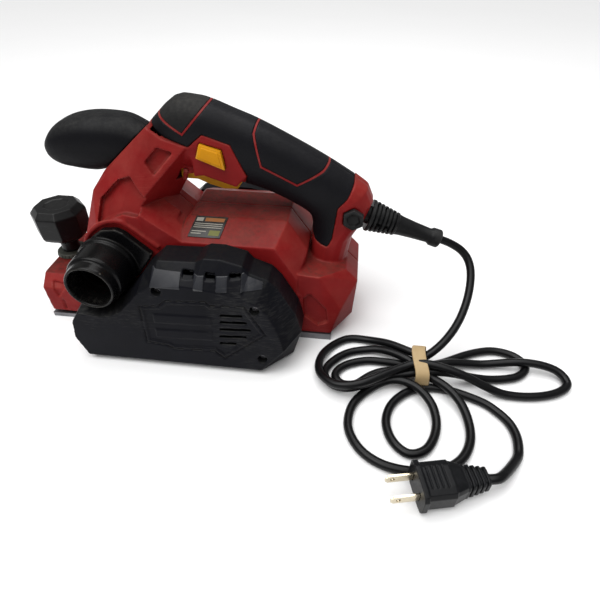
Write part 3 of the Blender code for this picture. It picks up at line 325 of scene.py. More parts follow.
# The darker tan in hollows is painted shade.
BAND = moulded(
    "tan_band", (0.46, 0.33, 0.17), (0.36, 0.24, 0.11), rough=(0.45, 0.62), grain=700, dust_and_shadow=(0.5, 0.42, 0.28),
    dust_and_shadow_amount=0.25, wear=(0.55, 0.44, 0.28), grime_and_hollow_shade=(0.2, 0.12, 0.06), scratch=0.4, spec=0.25,
)
LABEL = moulded(
    "label_film", (0.01, 0.01, 0.01), (0.006, 0.006, 0.006), rough=(0.24, 0.4), grain=600,
    grain_depth=0.08, dust_and_shadow=(0.06, 0.05, 0.045), dust_and_shadow_amount=0.35, wear=(0.08, 0.08, 0.075), scratch=0.5,
    spec=0.25,
)
WHITE_INK = ink("white_ink", (0.36, 0.35, 0.3), (0.2, 0.2, 0.17), (0.2, 0.17, 0.15))
ORANGE_INK = ink("orange_ink", (0.3, 0.1, 0.015), (0.2, 0.07, 0.01), (0.2, 0.14, 0.1))
GREEN_INK = ink("green_ink", (0.16, 0.17, 0.03), (0.09, 0.1, 0.02), (0.15, 0.14, 0.1))
RED_LINE = moulded(
    "red_line", (0.23, 0.011, 0.013), (0.15, 0.007, 0.008), rough=(0.4, 0.55), grain_depth=0.1,
    dust_and_shadow=(0.2, 0.07, 0.06), dust_and_shadow_amount=0.3, wear=(0.28, 0.07, 0.06), scratch=0.4, spec=0.1,
)
RUBBER_GLOSS = moulded(
    "sleeve_rubber", (0.0044, 0.0044, 0.005), (0.003, 0.003, 0.0034), rough=(0.36, 0.54), grain=800,
    grain_depth=0.2, dust_and_shadow=(0.028, 0.028, 0.028), dust_and_shadow_amount=0.4, wear=(0.05, 0.05, 0.05), spec=0.18,
)
ALUMINIUM = metal(
    "milled_aluminium", (0.24, 0.24, 0.25), (0.16, 0.16, 0.17), (0.3, 0.52), tarnish=(0.09, 0.085, 0.08),
)
STEEL = metal("steel", (0.55, 0.55, 0.56), (0.4, 0.4, 0.41), (0.22, 0.42), tarnish=(0.25, 0.22, 0.2))
DARK_STEEL = metal(
    "dark_steel", (0.16, 0.16, 0.17), (0.1, 0.1, 0.11), (0.34, 0.55), tarnish=(0.12, 0.07, 0.05),
)
NICKEL = metal("nickel_brass", (0.7, 0.63, 0.48), (0.58, 0.5, 0.36), (0.14, 0.3), tarnish=(0.4, 0.3, 0.2))
BRASS = metal("brass", (0.66, 0.48, 0.2), (0.5, 0.36, 0.15), (0.24, 0.42))
CARBON = moulded(
    "carbon", (0.03, 0.03, 0.03), (0.02, 0.02, 0.02), rough=(0.6, 0.8), grain=500, grain_depth=0.6,
)


# Solids, as bmeshes in tool millimetres


def fresh(verts, faces):
    bm = bmesh.new()
    made = [bm.verts.new(v) for v in verts]
    for face in faces:
        bm.faces.new([made[i] for i in face])
    bmesh.ops.recalc_face_normals(bm, faces=bm.faces)
    return bm


def hull(points):
    bm = bmesh.new()
    for p in points:
        bm.verts.new(p)
    result = bmesh.ops.convex_hull(bm, input=bm.verts)
    loose = [v for v in result["geom_interior"] if isinstance(v, bmesh.types.BMVert)]
    bmesh.ops.delete(bm, geom=loose, context="VERTS")
    bmesh.ops.recalc_face_normals(bm, faces=bm.faces)
    return bm


def both_sides(points):
    return [(x, s * y, z) for x, y, z in points for s in (-1, 1)]


def span(side, near, far):
    """The y range between two distances from the seam, on one side of it."""
    return sorted((side * near, side * far))


def side_hull(side, points):
    return hull([(x, side * y, z) for x, y, z in points])


def box(x0, x1, y0, y1, z0, z1):
    return hull([(x, y, z) for x in (x0, x1) for y in (y0, y1) for z in (z0, z1)])


def prism(outline, y0, y1):
    n = len(outline)
    verts = [(x, y0, z) for x, z in outline] + [(x, y1, z) for x, z in outline]
    faces = [list(range(n)), list(range(2 * n - 1, n - 1, -1))]
    faces += [(i, (i + 1) % n, n + (i + 1) % n, n + i) for i in range(n)]
    return fresh(verts, faces)


def rings(loops):
    n = len(loops[0])
    verts = [p for loop in loops for p in loop]
    last = (len(loops) - 1) * n
    faces = [list(range(n)), [last + i for i in reversed(range(n))]]
    for k in range(len(loops) - 1):
        for i in range(n):
            j = (i + 1) % n
            faces.append((k * n + i, (k + 1) * n + i, (k + 1) * n + j))
            faces.append((k * n + i, (k + 1) * n + j, k * n + j))
    return fresh(verts, faces)


def lathe(profile, steps, origin, axis, inner=None):
    axis = Vector(axis).normalized()
    side = axis.orthogonal().normalized()
    up = axis.cross(side)
    rows = list(profile)
    if inner is not None:
        rows += [(profile[-1][0], inner), (profile[0][0], inner)]
    verts = []
    for along, radius in rows:
        for i in range(steps):
            a = 2 * math.pi * i / steps
            spoke = side * math.cos(a) + up * math.sin(a)
            verts.append(Vector(origin) + axis * along + spoke * radius)
    faces = []
    count = len(rows)
    for k in range(count if inner is not None else count - 1):
        m = (k + 1) % count
        for i in range(steps):
            j = (i + 1) % steps
            faces.append((k * steps + i, m * steps + i, m * steps + j, k * steps + j))
    if inner is None:
        faces.append(tuple(reversed(range(steps))))
        faces.append(tuple((count - 1) * steps + i for i in range(steps)))
    return fresh(verts, faces)


def disc_y(x, z, radius, y0, y1, steps=40):
    return lathe([(0, radius), (y1 - y0, radius)], steps, (x, y0, z), (0, 1, 0))


def offset(outline, amount):
    """The outline with every side moved outward."""
    n = len(outline)
    area = sum(a[0] * b[1] - b[0] * a[1] for a, b in zip(outline, [*outline[1:], outline[0]]))
    sign = 1 if area > 0 else -1
    made = []
    for i in range(n):
        a, b, c = (Vector(outline[k % n]) for k in (i - 1, i, i + 1))
        d0, d1 = (b - a).normalized(), (c - b).normalized()
        n0, n1 = Vector((d0.y, -d0.x)) * sign, Vector((d1.y, -d1.x)) * sign
        middle = (n0 + n1).normalized()
        made.append(tuple(b + middle * (amount / max(0.35, middle.dot(n0)))))
    return made


def spline(points, steps):
    """Points read from a Catmull-Rom curve through these."""
    pts = [Vector(p) for p in points]
    pts = [pts[0] * 2 - pts[1], *pts, pts[-1] * 2 - pts[-2]]
    made = []
    for k in range(1, len(pts) - 2):
        a, b, c, d = pts[k - 1 : k + 3]
        for i in range(steps):
            t = i / steps
            square, cube = 2 * a - 5 * b + 4 * c - d, 3 * b - a - 3 * c + d
            made.append(0.5 * (2 * b + (c - a) * t + square * t**2 + cube * t**3))
    return [*made, pts[-2]]


# Objects


def solid(name, bm):
    """An object from a bmesh in tool millimetres."""
    bmesh.ops.scale(bm, vec=(MM, MM, MM), verts=bm.verts)
    bmesh.ops.translate(bm, vec=SHIFT, verts=bm.verts)
    mesh = bpy.data.meshes.new(name)
    bm.to_mesh(mesh)
    bm.free()
    return link(name, mesh)


def from_frame(name, cad):
    """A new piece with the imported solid's own mesh, its split points joined again."""
    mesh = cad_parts[cad].data.copy()
    mesh.name = name
    mesh.materials.clear()
    bm = bmesh.new()
    bm.from_mesh(mesh)
    bmesh.ops.remove_doubles(bm, verts=bm.verts, dist=2e-6)
    bm.to_mesh(mesh)
    bm.free()
    return link(name, mesh)


def bake(obj):
    """Applies the object's modifiers."""
    bpy.context.view_layer.update()
    graph = bpy.context.evaluated_depsgraph_get()
    mesh = bpy.data.meshes.new_from_object(obj.evaluated_get(graph))
    obj.modifiers.clear()
    old = obj.data
    obj.data = mesh
    mesh.name = obj.name
    bpy.data.meshes.remove(old)
    return obj


def combine(obj, other, operation):
    if isinstance(other, bmesh.types.BMesh):
        other = solid("cutter", other)
    modifier = obj.modifiers.new("cut", "BOOLEAN")
    modifier.operation = operation
    modifier.solver = "MANIFOLD"
    modifier.object = other
    bake(obj)
    spare = other.data
    bpy.data.objects.remove(other)
    bpy.data.meshes.remove(spare)
    return obj


def add(obj, *others):
    for other in others:
        combine(obj, other, "UNION")
    return obj


def cut(obj, *others):
    for other in others:
        combine(obj, other, "DIFFERENCE")
    return obj


def keep(obj, other):
    return combine(obj, other, "INTERSECT")


def half_space(side):
    """Everything on one side of the seam, less half of the hairline between the shells."""
    return box(-500, 500, *span(side, 0.12, 500), -500, 500)


def smooth_faces(obj, sharp=None):
    """Smooth shading; edges above the angle `sharp`, in degrees, stay sharp."""
    obj.data.shade_smooth()
    if sharp is not None:
        obj.data.set_sharp_from_angle(angle=math.radians(sharp))
    return obj


def soften(obj, voxel, rounds, ratio=1.0):
    """Voxel remesh, then smoothing: every moulded edge gets its small radius."""
    remesh = obj.modifiers.new("remesh", "REMESH")
    remesh.mode = "VOXEL"
    remesh.voxel_size = voxel * MM * COARSE
    smooth = obj.modifiers.new("smooth", "SMOOTH")
    smooth.factor = 0.5
    smooth.iterations = rounds
    if ratio < 1.0:
        thin = obj.modifiers.new("thin", "DECIMATE")
        thin.ratio = ratio
    return smooth_faces(bake(obj))


def rounded(obj, width, segments):
    """A bevel along every edge that is not nearly flat."""
    bevel = obj.modifiers.new("bevel", "BEVEL")
    bevel.width = width * MM
    bevel.segments = segments
    bevel.limit_method = "ANGLE"
    bevel.angle_limit = math.radians(25)
    bevel.harden_normals = False
    return smooth_faces(bake(obj), 40)


def paint(obj, material):
    obj.data.materials.clear()
    obj.data.materials.append(material)
    return obj


def finish_piece(obj, material, body, slot, *cad):
    paint(obj, material)
    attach(obj, body)
    if cad:
        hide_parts(*cad)
    return obj


# Cord: exit of the sleeve, the lead down to the band, the loops of the hank, the stretch to the plug.

CORD_RADIUS = 3.1
SLEEVE_ROOT = (122, 0, 94)
SLEEVE_TILT = -17.0
SLEEVE_LENGTH = 60.0
PLUG_BACK = (203, -158.5)
PLUG_FRONT = (160.5, -168.5)
PLUG_Z = 10.4


def sleeve_axis():
    tilt = math.radians(SLEEVE_TILT)
    return Vector((math.cos(tilt), 0, math.sin(tilt)))


def sleeve_point(along):
    return Vector(SLEEVE_ROOT) + sleeve_axis() * along


def plug_axis():
    return (Vector((*PLUG_FRONT, 0)) - Vector((*PLUG_BACK, 0))).normalized()


LEAD = [
    (190, 0, 72.5), (201, -3, 66), (206, -12, 57), (205, -26, 45), (199, -42, 33), (188, -57, 23),
]
# Seen from above, in the order in which the cord runs from the lead to the plug.
LOOPS = [
    (173, -66), (160, -58), (146, -49.5), (130, -43.5), (115, -44.5), (102, -56), (95.5, -72), (97, -88),
    (109, -99), (126, -98.5), (143, -89), (158, -80), (172, -77), (200, -82), (228, -87), (252, -86),
    (270, -80), (279, -71), (272, -61.5), (248, -58), (220, -60), (195, -64), (172, -70.5), (155, -62),
    (138, -55), (120, -58), (107, -68), (100, -81), (105, -93), (118, -98), (134, -92), (150, -84),
    (172, -80), (196, -77), (222, -74), (243, -69), (252.5, -58), (246, -47), (229, -43.5), (208, -51),
    (190, -61), (172, -66.5), (152, -66), (132, -66), (115, -73), (108, -83), (113, -91), (124, -90),
    (134, -81), (149, -74.5), (172, -79), (190, -92), (199.5, -108), (200.5, -126), (193, -142),
    (179, -152), (162, -155), (143, -153), (128, -144), (119.5, -128), (122, -109), (134, -94), (150, -87),
    (166, -92), (177, -106), (178.5, -122), (171, -138), (159, -143), (149, -135), (145, -121), (149, -106),
    (160, -94), (174, -87.5), (192, -88), (212, -95),
]
TAIL = [(221, -101.5), (228.5, -111), (231, -123), (228, -137), (219, -149)]
CORD_GAP = 0.15  # air between two turns that lie on each other
HUMP_REACH = 60  # how far along the cord a hump lifts it
HUMP_FALL = 150.0  # a larger number makes the hump flatter


def settle(route, radius):
    """Lays a flat route on the floor from its far end: each point rests on what already lies under it."""
    diameter = 2 * radius + CORD_GAP
    heights = [0.0] * len(route)
    along = [0.0]
    for a, b in zip(route, route[1:]):
        along.append(along[-1] + (b - a).length)
    for i in reversed(range(len(route))):
        rest = radius
        for j in range(i + 1, len(route)):
            if along[j] - along[i] < 6 * radius:
                continue
            gap = (route[i] - route[j]).length
            if gap < diameter:
                rest = max(rest, heights[j] + math.sqrt(diameter**2 - gap**2))
        heights[i] = rest
    # A stiff cord climbs slowly, so a hump reaches out on both sides of what it crosses.
    eased = list(heights)
    for i in range(len(route)):
        for j in range(len(route)):
            apart = abs(along[i] - along[j])
            if apart < HUMP_REACH:
                eased[i] = max(eased[i], heights[j] - apart * apart / HUMP_FALL)
    for _ in range(3):
        inside = [(a + 2 * b + c) / 4 for a, b, c in zip(eased, eased[1:], eased[2:])]
        eased = [eased[0], *inside, eased[-1]]
    return eased


def cord_points():
    back = Vector((*PLUG_BACK, PLUG_Z))
    flat = [Vector((x, y, 0)) for x, y in LOOPS + TAIL]
    flat = spline(flat, 4)
    lift = settle(flat, CORD_RADIUS)
    dust_and_shadow_mask = [Vector((p.x, p.y, z)) for p, z in zip(flat, lift)]
    # The last stretch rises into the back of the plug.
    end = [back - plug_axis() * 9.0, back + plug_axis() * 1.0]
    start = [sleeve_point(SLEEVE_LENGTH - 12), sleeve_point(SLEEVE_LENGTH + 1), *LEAD]
    falling = spline([*start, dust_and_shadow_mask[0], dust_and_shadow_mask[4]], 3)[:-3]
    rising = spline([dust_and_shadow_mask[-8], dust_and_shadow_mask[-5], *end], 4)[4:]
    return falling[:-1] + dust_and_shadow_mask[:-5] + rising


def cord_curve():
    """The cord as a round curve, and its length in metres."""
    points = [place(p) for p in cord_points()]
    data = bpy.data.curves.new("cord", "CURVE")
    data.dimensions = "3D"
    data.resolution_u = 2
    line = data.splines.new("POLY")
    smooth = spline(points[::2] + ([points[-1]] if len(points) % 2 == 0 else []), 3)
    line.points.add(len(smooth) - 1)
    for point, at in zip(line.points, smooth):
        point.co = (*at, 1.0)
    data.bevel_depth = CORD_RADIUS * MM
    data.bevel_resolution = 5
    data.use_fill_caps = True
    data.materials.append(CORD)
    length = sum((b - a).length for a, b in zip(smooth, smooth[1:]))
    return link("cord", data), length


cord, cord_length = cord_curve()
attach(cord, "body")
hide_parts("cord_lead", "cord_hank", "cord_tail")


PIN_Y = 6.35  # half the distance between the plug's blades


def plug_block(x0, x1, half, tall, x1_half=None, x1_tall=None):
    """A block with cut corners along the plug's axis, which may widen towards x1."""
    points = []
    for along, w, h in ((x0, half, tall), (x1, x1_half or half, x1_tall or tall)):
        for sy, sz in ((0.55, 1), (0.88, 0.88), (1, 0.55)):
            points += [(along, w * sy * a, h * sz * b) for a in (-1, 1) for b in (-1, 1)]
    return hull(points)


def on_plug(bm):
    """Moves a solid from the plug's own axes to where the plug lies."""
    axis = plug_axis()
    angle = math.atan2(axis.y, axis.x)
    bmesh.ops.rotate(bm, cent=(0, 0, 0), matrix=Matrix.Rotation(angle, 3, "Z"), verts=bm.verts)
    bmesh.ops.translate(bm, vec=(*PLUG_BACK, PLUG_Z), verts=bm.verts)
    return bm


def build_plug():
    length = (Vector(PLUG_FRONT) - Vector(PLUG_BACK)).length
    plug = solid("plug_body", on_plug(plug_block(0, 18, 4.6, 4.6, 7.6, 6.6)))
    for k in range(5):
        at = 0.6 + 3.4 * k
        add(plug, on_plug(plug_block(at, at + 1.9, 6.0 + 0.65 * k, 5.9 + 0.45 * k)))
    add(plug, on_plug(plug_block(16.5, 24, 8.8, 8.0, 11.6, 9.1)))
    add(plug, on_plug(plug_block(23.5, length - 2.6, 12.0, 9.4)))
    add(plug, on_plug(plug_block(length - 3.2, length, 13.5, 10.2)))
    # Finger grooves on the wide sides
    for k in range(4):
        at = 27.0 + 3.2 * k
        for side in (-1, 1):
            cut(plug, on_plug(box(at, at + 1.3, -7.0, 7.0, *span(side, 8.9, 12))))
    for y in (-PIN_Y, PIN_Y):
        cut(plug, on_plug(box(length - 3.3, length + 5, y - 1.05, y + 1.05, -3.5, 3.5)))
    cut(plug, on_plug(lathe([(-3, CORD_RADIUS + 0.15), (4, CORD_RADIUS + 0.15)], 24, (0, 0, 0), (1, 0, 0))))
    soften(plug, 0.34, 4)
    finish_piece(plug, PLUG_BLACK, "body", "black_plastic", "plug")
    made = [plug]
    for letter, y in (("a", -PIN_Y), ("b", PIN_Y)):
        tip = length + 17
        blade = solid("plug_pin_" + letter, on_plug(box(length - 3, tip, y - 0.75, y + 0.75, -3.2, 3.2)))
        nose = box(tip - 1.2, tip + 1, y - 2, y + 2, 2.2, 4)
        cut(blade, on_plug(nose), on_plug(box(tip - 1.2, tip + 1, y - 2, y + 2, -4, -2.2)))
        cut(blade, on_plug(lathe([(-2, 1.5), (2, 1.5)], 24, (tip - 4.4, y, 0), (0, 1, 0))))
        rounded(blade, 0.22, 2)
        made.append(finish_piece(blade, NICKEL, "body", "brass", "plug_blade_" + letter))
    return made


plug_pieces = build_plug()


def build_band():
    """A flat rubber band drawn round the bundle, its walls leaning a little."""
    middle = (171.0, -72.5)
    half_y, z0, z1 = 15.0, 0.35, 20.6
    loops = []
    steps = 72
    around = ((-5, -0.9), (-4.4, -1.0), (4.4, -1.0), (5, -0.9), (5, 0.9), (4.4, 1.0), (-4.4, 1.0), (-5, 0.9))
    for k in range(steps):
        a = 2 * math.pi * k / steps
        c, s = math.cos(a), math.sin(a)
        y = middle[1] + half_y * math.copysign(abs(c) ** 0.7, c)
        z = (z0 + z1) / 2 + ((z1 - z0) / 2 - 1.0) * math.copysign(abs(s) ** 0.7, s)
        out = Vector((0, c, s * 1.2)).normalized()
        lean = -2.2 * s
        wave = 0.5 * math.sin(3 * a + 0.6)
        loops.append([Vector((middle[0] + lean + wave + w, y, z)) + out * t for w, t in around])
    n = len(around)
    verts = [p for loop in loops for p in loop]
    faces = []
    for k in range(steps):
        m = (k + 1) % steps
        for i in range(n):
            j = (i + 1) % n
            faces.append((k * n + i, m * n + i, m * n + j, k * n + j))
    band = solid("band_loop", fresh(verts, faces))
    subdivide = band.modifiers.new("round", "SUBSURF")
    subdivide.levels = 1
    subdivide.render_levels = 1
    smooth_faces(bake(band))
    return finish_piece(band, BAND, "body", "band_rubber", "cord_band")


band = build_band()


# Cord sleeve


def build_sleeve():
    rows = [(-4.0, 6.6), (1.3, 6.9), (1.3, 11.6), (1.9, 12.2), (3.6, 12.2), (4.2, 11.6)]
    along = 4.2
    for k in range(6):
        outer = 11.7 - 0.55 * k
        rows += [(along + 0.1, outer - 1.9), (along + 1.1, outer - 2.0), (along + 1.2, outer - 0.4)]
        rows += [(along + 1.6, outer), (along + 2.9, outer - 0.15), (along + 3.3, outer - 0.6)]
        along += 3.3
    rows += [(along + 0.2, 8.0), (along + 4, 7.3), (along + 14, 6.4)]
    mouth = ((9.0, 5.6), (7.5, 6.4), (6.6, 7.0), (0.8, 7.1), (0, 6.4))
    rows += [(SLEEVE_LENGTH - back, radius) for back, radius in mouth]
    sleeve = solid("strain_relief", lathe(rows, 64, SLEEVE_ROOT, sleeve_axis(), CORD_RADIUS + 0.2))
    # Relief slots that break each rib on two sides
    axis = sleeve_axis()
    up = Vector((-axis.z, 0, axis.x))
    level = Vector((0, 1, 0))
    for k in range(5):
        at = 6.2 + 3.3 * k
        for sign in (-1, 1):
            sideways, across = (level, up) if k % 2 else (up, level)
            corners = [(a, b, c) for a in (-1.9, 1.9) for b in (-1.3, 1.3) for c in (7.4, 14)]
            middle = sleeve_point(at)
            cut(sleeve, hull([middle + axis * a + across * b + sideways * sign * c for a, b, c in corners]))
    smooth_faces(sleeve, 38)
    finish_piece(sleeve, RUBBER_GLOSS, "body", "cord_rubber", "cord_sleeve")


# Handle and grips

HANDLE_HALF = 18.5
HANDLE = [
    ((-34, 158), (-16, 130), 17), ((-15, 174), (-8, 127), 18), ((-1, 174.6), (2, 125.5), HANDLE_HALF),
    ((9, 172.6), (12, 122), HANDLE_HALF), ((24, 167), (24, 118), 18), ((42, 160.2), (34, 116), 17.5),
    ((68, 147.8), (50, 111), 17), ((90, 136.3), (66, 103.5), 17), ((108, 125.6), (78, 96), 17.5),
    ((121, 117.4), (81, 88), 18), ((125.8, 107.5), (81, 82), 18.5), ((121.5, 95), (81.5, 76), 19),
    ((113, 80), (81, 70), 20), ((110, 62), (79, 58), 21), ((108, 50), (78, 48), 21),
]
HORN = [
    ((-34, 151), (-64, 125), 18.5), ((-50, 159.5), (-74, 122), 19.5), ((-65, 161.5), (-80, 120.8), 20),
    ((-80, 161), (-87.5, 121), 20), ((-94, 158), (-96, 122), 19.2), ((-106, 152), (-104.5, 123.5), 17.5),
    ((-113.5, 144.5), (-111, 127), 14), ((-116.5, 139), (-115, 132), 8),
]
SWITCH_PANEL = [(-12, 123.5), (-4.5, 146), (6.5, 154.8), (25, 148.5), (35, 126.5), (27, 118.5), (4, 126)]
GRIP_ZONE = [
    (-50, 172), (-31.5, 160), (-20.5, 152), (-4.5, 146.3), (6.6, 155.3), (25.3, 149), (35.3, 126.5),
    (28, 108), (60, 84), (80, 92), (79, 84), (83.5, 76.5), (94, 75), (97, 81), (100, 106.5), (106.4, 113.5),
    (110.2, 122), (113, 150), (70, 200), (-20, 210),
]
CAP_ZONE = [(-42, 178), (-22.5, 165), (-7, 155.5), (14.5, 178), (24, 210), (-36, 210)]
PAD_ZONE = [
    (47, 190), (44, 165), (41.7, 155.6), (46.3, 135), (70.6, 123), (88, 132.5), (96, 140), (108, 160),
    (90, 190),
]
NECK = [
    (-67.5, 21, 127.5), (-27, 18.5, 162.5), (-76, 29, 115.5), (-83.5, 35, 92), (-89, 44, 72),
    (-72, 43.5, 97), (-56, 43.5, 105), (-38, 43, 105), (-4.5, 18.5, 146.5), (-12.5, 18.5, 124),
    (-21, 26, 106), (-26, 44, 88), (-88, 44, 45), (-30, 44, 45),
]
LINE_WIDTH = 1.5  # of the red lines between the rubber zones


def section_loops(rows, shrink, steps, between, power):
    """Rounded-box sections, smoothed from row to row."""
    tops = spline([(*top, half) for top, _, half in rows], between)
    bottoms = spline([(*bottom, half) for _, bottom, half in rows], between)
    loops = []
    for top, bottom in zip(tops, bottoms):
        t, b = Vector((top.x, top.y)), Vector((bottom.x, bottom.y))
        middle, axis = (t + b) / 2, (t - b).normalized()
        tall, wide = (t - b).length / 2 - shrink, top.z - shrink
        loop = []
        for i in range(steps):
            a = 2 * math.pi * (i + 0.5) / steps
            c, s = math.cos(a), math.sin(a)
            p = middle + axis * math.copysign(abs(c) ** power[0], c) * tall
            loop.append((p.x, math.copysign(abs(s) ** power[1], s) * wide, p.y))
        loops.append(loop)
    return loops


def handle(shrink):
    return rings(section_loops(HANDLE, shrink, 56, 3, (0.8, 0.8)))


def inset_hull(points, depth):
    """The convex solid of these points with every face moved inward."""
    outer = hull(points)
    bmesh.ops.dissolve_limit(outer, angle_limit=0.001, verts=outer.verts, edges=outer.edges)
    planes = [(f.calc_center_median(), f.normal.copy()) for f in outer.faces]
    outer.free()
    planes = [(centre - normal * depth, normal) for centre, normal in planes]
    return within(box(*(-400, 400) * 3), planes)


def within(bm, planes):
    """The part of a convex solid behind every (point, outward normal) plane."""
    for point, normal in planes:
        everything = list(bm.verts) + list(bm.edges) + list(bm.faces)
        plane = {"plane_co": point, "plane_no": normal}
        sliced = bmesh.ops.bisect_plane(bm, geom=everything, clear_outer=True, **plane)
        edges = [e for e in sliced["geom_cut"] if isinstance(e, bmesh.types.BMEdge)]
        if edges:
            bmesh.ops.contextual_create(bm, geom=edges)
    bmesh.ops.remove_doubles(bm, verts=bm.verts, dist=0.001)
    bmesh.ops.recalc_face_normals(bm, faces=bm.faces)
    return bm


def copy_of(obj, name):
    made = obj.copy()
    made.data = obj.data.copy()
    made.name = name
    made.data.name = name
    bpy.context.scene.collection.objects.link(made)
    return made


def drop(obj):
    bpy.data.objects.remove(obj, do_unlink=True)


def crack_cutters():
    """Short shallow splits that wander across the front cap."""
    paths = [
        [(-26, 168, -20), (-20, 169.5, -12), (-13, 171, -6), (-8, 173.5, 2)],
        [(-20, 169.5, -12), (-17, 164.5, -17), (-14.5, 161, -20)],
        [(-13, 171, -6), (-6, 170, -9), (1, 173, -12)],
    ]
    made = []
    for path in paths:
        points = spline(path, 3)
        for a, b in zip(points, points[1:]):
            along = (b - a).normalized()
            up = Vector((-0.2, -0.35, 1)).normalized()
            across = along.cross(up).normalized()
            ends = (a - along * 0.2, b + along * 0.2)
            made.append(hull([p + across * w + up * h for p in ends for w in (-0.35, 0.35) for h in (-9, 9)]))
    return made


def build_grip(shell):
    """The two halves of the main grip, with room for the cap, the pad, the red lines and the switch panel."""
    piece = copy_of(shell, "piece")
    keep(piece, prism(GRIP_ZONE, -60, 60))
    for zone, grow in ((CAP_ZONE, LINE_WIDTH), (PAD_ZONE, LINE_WIDTH), (SWITCH_PANEL, 0.3)):
        cut(piece, prism(offset(zone, grow), -61, 61))
    for name, side in (("left", -1), ("right", 1)):
        half = copy_of(piece, "soft_grip_" + name)
        keep(half, half_space(side))
        soften(half, 0.55, 3, ratio=0.5)
        finish_piece(half, RUBBER, "body", "grip_rubber", "grip_" + name)
    drop(piece)


def build_inlay(shell, name, zone, material, cutters):
    """The cap or the pad, let into the grip."""
    made = copy_of(shell, "soft_" + name)
    keep(made, prism(zone, -60, 60))
    keep(made, prism(offset(GRIP_ZONE, -0.2), -60, 60))
    soften(made, 0.5, 3, ratio=0.5)
    if cutters:
        cut(made, *cutters)
        smooth_faces(made, 40)
    finish_piece(made, material, "body", "grip_rubber", name)


def build_red_line(shell, name, zone):
    """The red line round the cap or the pad."""
    line = copy_of(shell, "red_line_" + name)
    keep(line, prism(offset(zone, LINE_WIDTH - 0.12), -60, 60))
    cut(line, prism(offset(zone, 0.12), -61, 61))
    keep(line, prism(offset(GRIP_ZONE, -0.3), -60, 60))
    smooth_faces(line, 40)
    finish_piece(line, RED_LINE, "body", "red_plastic")


def build_grips():
    shell = solid("shell", handle(0.0))
    cut(shell, handle(2.0))
    build_grip(shell)
    build_inlay(shell, "grip_cap", CAP_ZONE, CAP, crack_cutters())
    build_inlay(shell, "grip_pad", PAD_ZONE, RUBBER, [])
    build_red_line(shell, "cap", CAP_ZONE)
    build_red_line(shell, "pad", PAD_ZONE)
    drop(shell)


def build_horn():
    loops = section_loops(HORN, 0.0, 64, 5, (0.85, 0.8))
    horn = solid("horn", rings(loops))
    cut(horn, rings(section_loops(HORN, 3.2, 32, 2, (0.85, 0.8))[2:-4]))
    cut(horn, inset_hull(both_sides(NECK), -0.3))
    for name, side in (("left", -1), ("right", 1)):
        half = copy_of(horn, f"front_grip_{name}")
        keep(half, half_space(side))
        soften(half, 0.6, 4, ratio=0.5)
        finish_piece(half, HORN_RUBBER, "body", "black_plastic", f"front_handle_{name}")
    drop(horn)


# Red shells

POCKET = [
    (-43.4, 129.4), (-53.5, 125.8), (-68.5, 112), (-71.5, 94), (-66, 99), (-56.9, 103), (-48.8, 105),
    (-39.8, 103.4), (-33.8, 116), (-38.4, 121.5),
]
ARCH = [
    (-87, 70), (-83.5, 83), (-76, 92), (-66, 98.5), (-55, 100.5), (-47.5, 97), (-37, 88), (-28.5, 80.5),
]
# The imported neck's own recesses, which are filled
CAD_POCKET = [(-61, 117.5), (-71.5, 92), (-58, 101.5), (-43, 102), (-34, 113), (-41.5, 126)]
CAD_WINDOW = [(-19.5, 151.5), (-13.5, 145.5), (-34, 126.5), (-40, 132.5)]
WINDOW = [(-24.4, 146.8), (-14.1, 143.3), (-27.1, 129.7), (-32.5, 138.3)]
# The handle opening's lower front corner: a point and the outward normal of the neck's undercut side,
# and of the ramp below it
UNDERCUT = (Vector((-5.3, 15.4, 143.3)), Vector((0.77, 0.417, -0.484)))
RAMP_SIDE = {
    -1: (Vector((-12.0, 21.0, 93.5)), Vector((0.576, 0.214, 0.788))),
    1: (Vector((-13.4, 8.0, 91.7)), Vector((0.62, 0.32, 0.72))),
}
RAMP_EDGE = {-1: 18.0, 1: 8.0}  # where the ramp's top meets its slanting side
RAMP_TOP = (Vector((-13.4, 18, 91.7)), Vector((0.686, 0, 0.727)))
REAR_PANEL = [(78.5, 40.5), (83.5, 46), (97, 31), (98.5, 18.5), (91, 14), (79.5, 24)]
FRONT_PANEL = [(-133, 33.5), (-119.5, 32), (-129, 20)]
REAR_BLOCK = [
    (50, 43, 6.4), (50, 43, 66), (74, 43, 58), (90, 42, 62), (108, 41, 31), (101, 43, 6.4), (109.5, 26, 60),
    (119.5, 26, 50), (117.5, 28, 18), (106, 32, 6.4),
]
FRONT_BLOCK = [
    (-138.5, 43, 6.4), (-141, 41, 29), (-141, 31.5, 38), (-144.5, 8, 35), (-144.5, 8, 22), (-139, 8, 6.4),
    (-80, 32, 38), (-80, 44, 27), (-80, 44, 6.4),
]
GROOVE_ENDS = ((-127, 41.6), (-124.6, 41.6), (-127.6, 50), (-124, 50))
FRONT_GROOVE = [(x, y, z) for x, y in GROOVE_ENDS for z in (8, 19)]
NECK_RIDGE = [
    (-52, 42.8, 99), (-48, 42.8, 99), (-52, 45.4, 99), (-48, 45.4, 99), (-50.6, 42.5, 106),
    (-49.4, 42.5, 106),
]


def recess(outline, block, depth, side):
    """A pocket of even depth below a block's slanting faces."""
    tool = solid("pocket", prism(outline, *span(side, 12, 70)))
    return cut(tool, inset_hull(block, depth))


def ridge_strip(points, width, y0, y1):
    """A raised bead that follows an XZ line on the body's side."""
    pts = spline(points, 4)
    made = []
    for a, b in zip(pts, pts[1:]):
        d = (b - a).normalized()
        n = Vector((-d.y, d.x)) * width / 2
        corners = [a - d * 0.3 + n, a - d * 0.3 - n, b + d * 0.3 - n, b + d * 0.3 + n]
        made.append(hull([(c.x, y, c.y) for c in corners for y in (y0, y1)]))
    return made


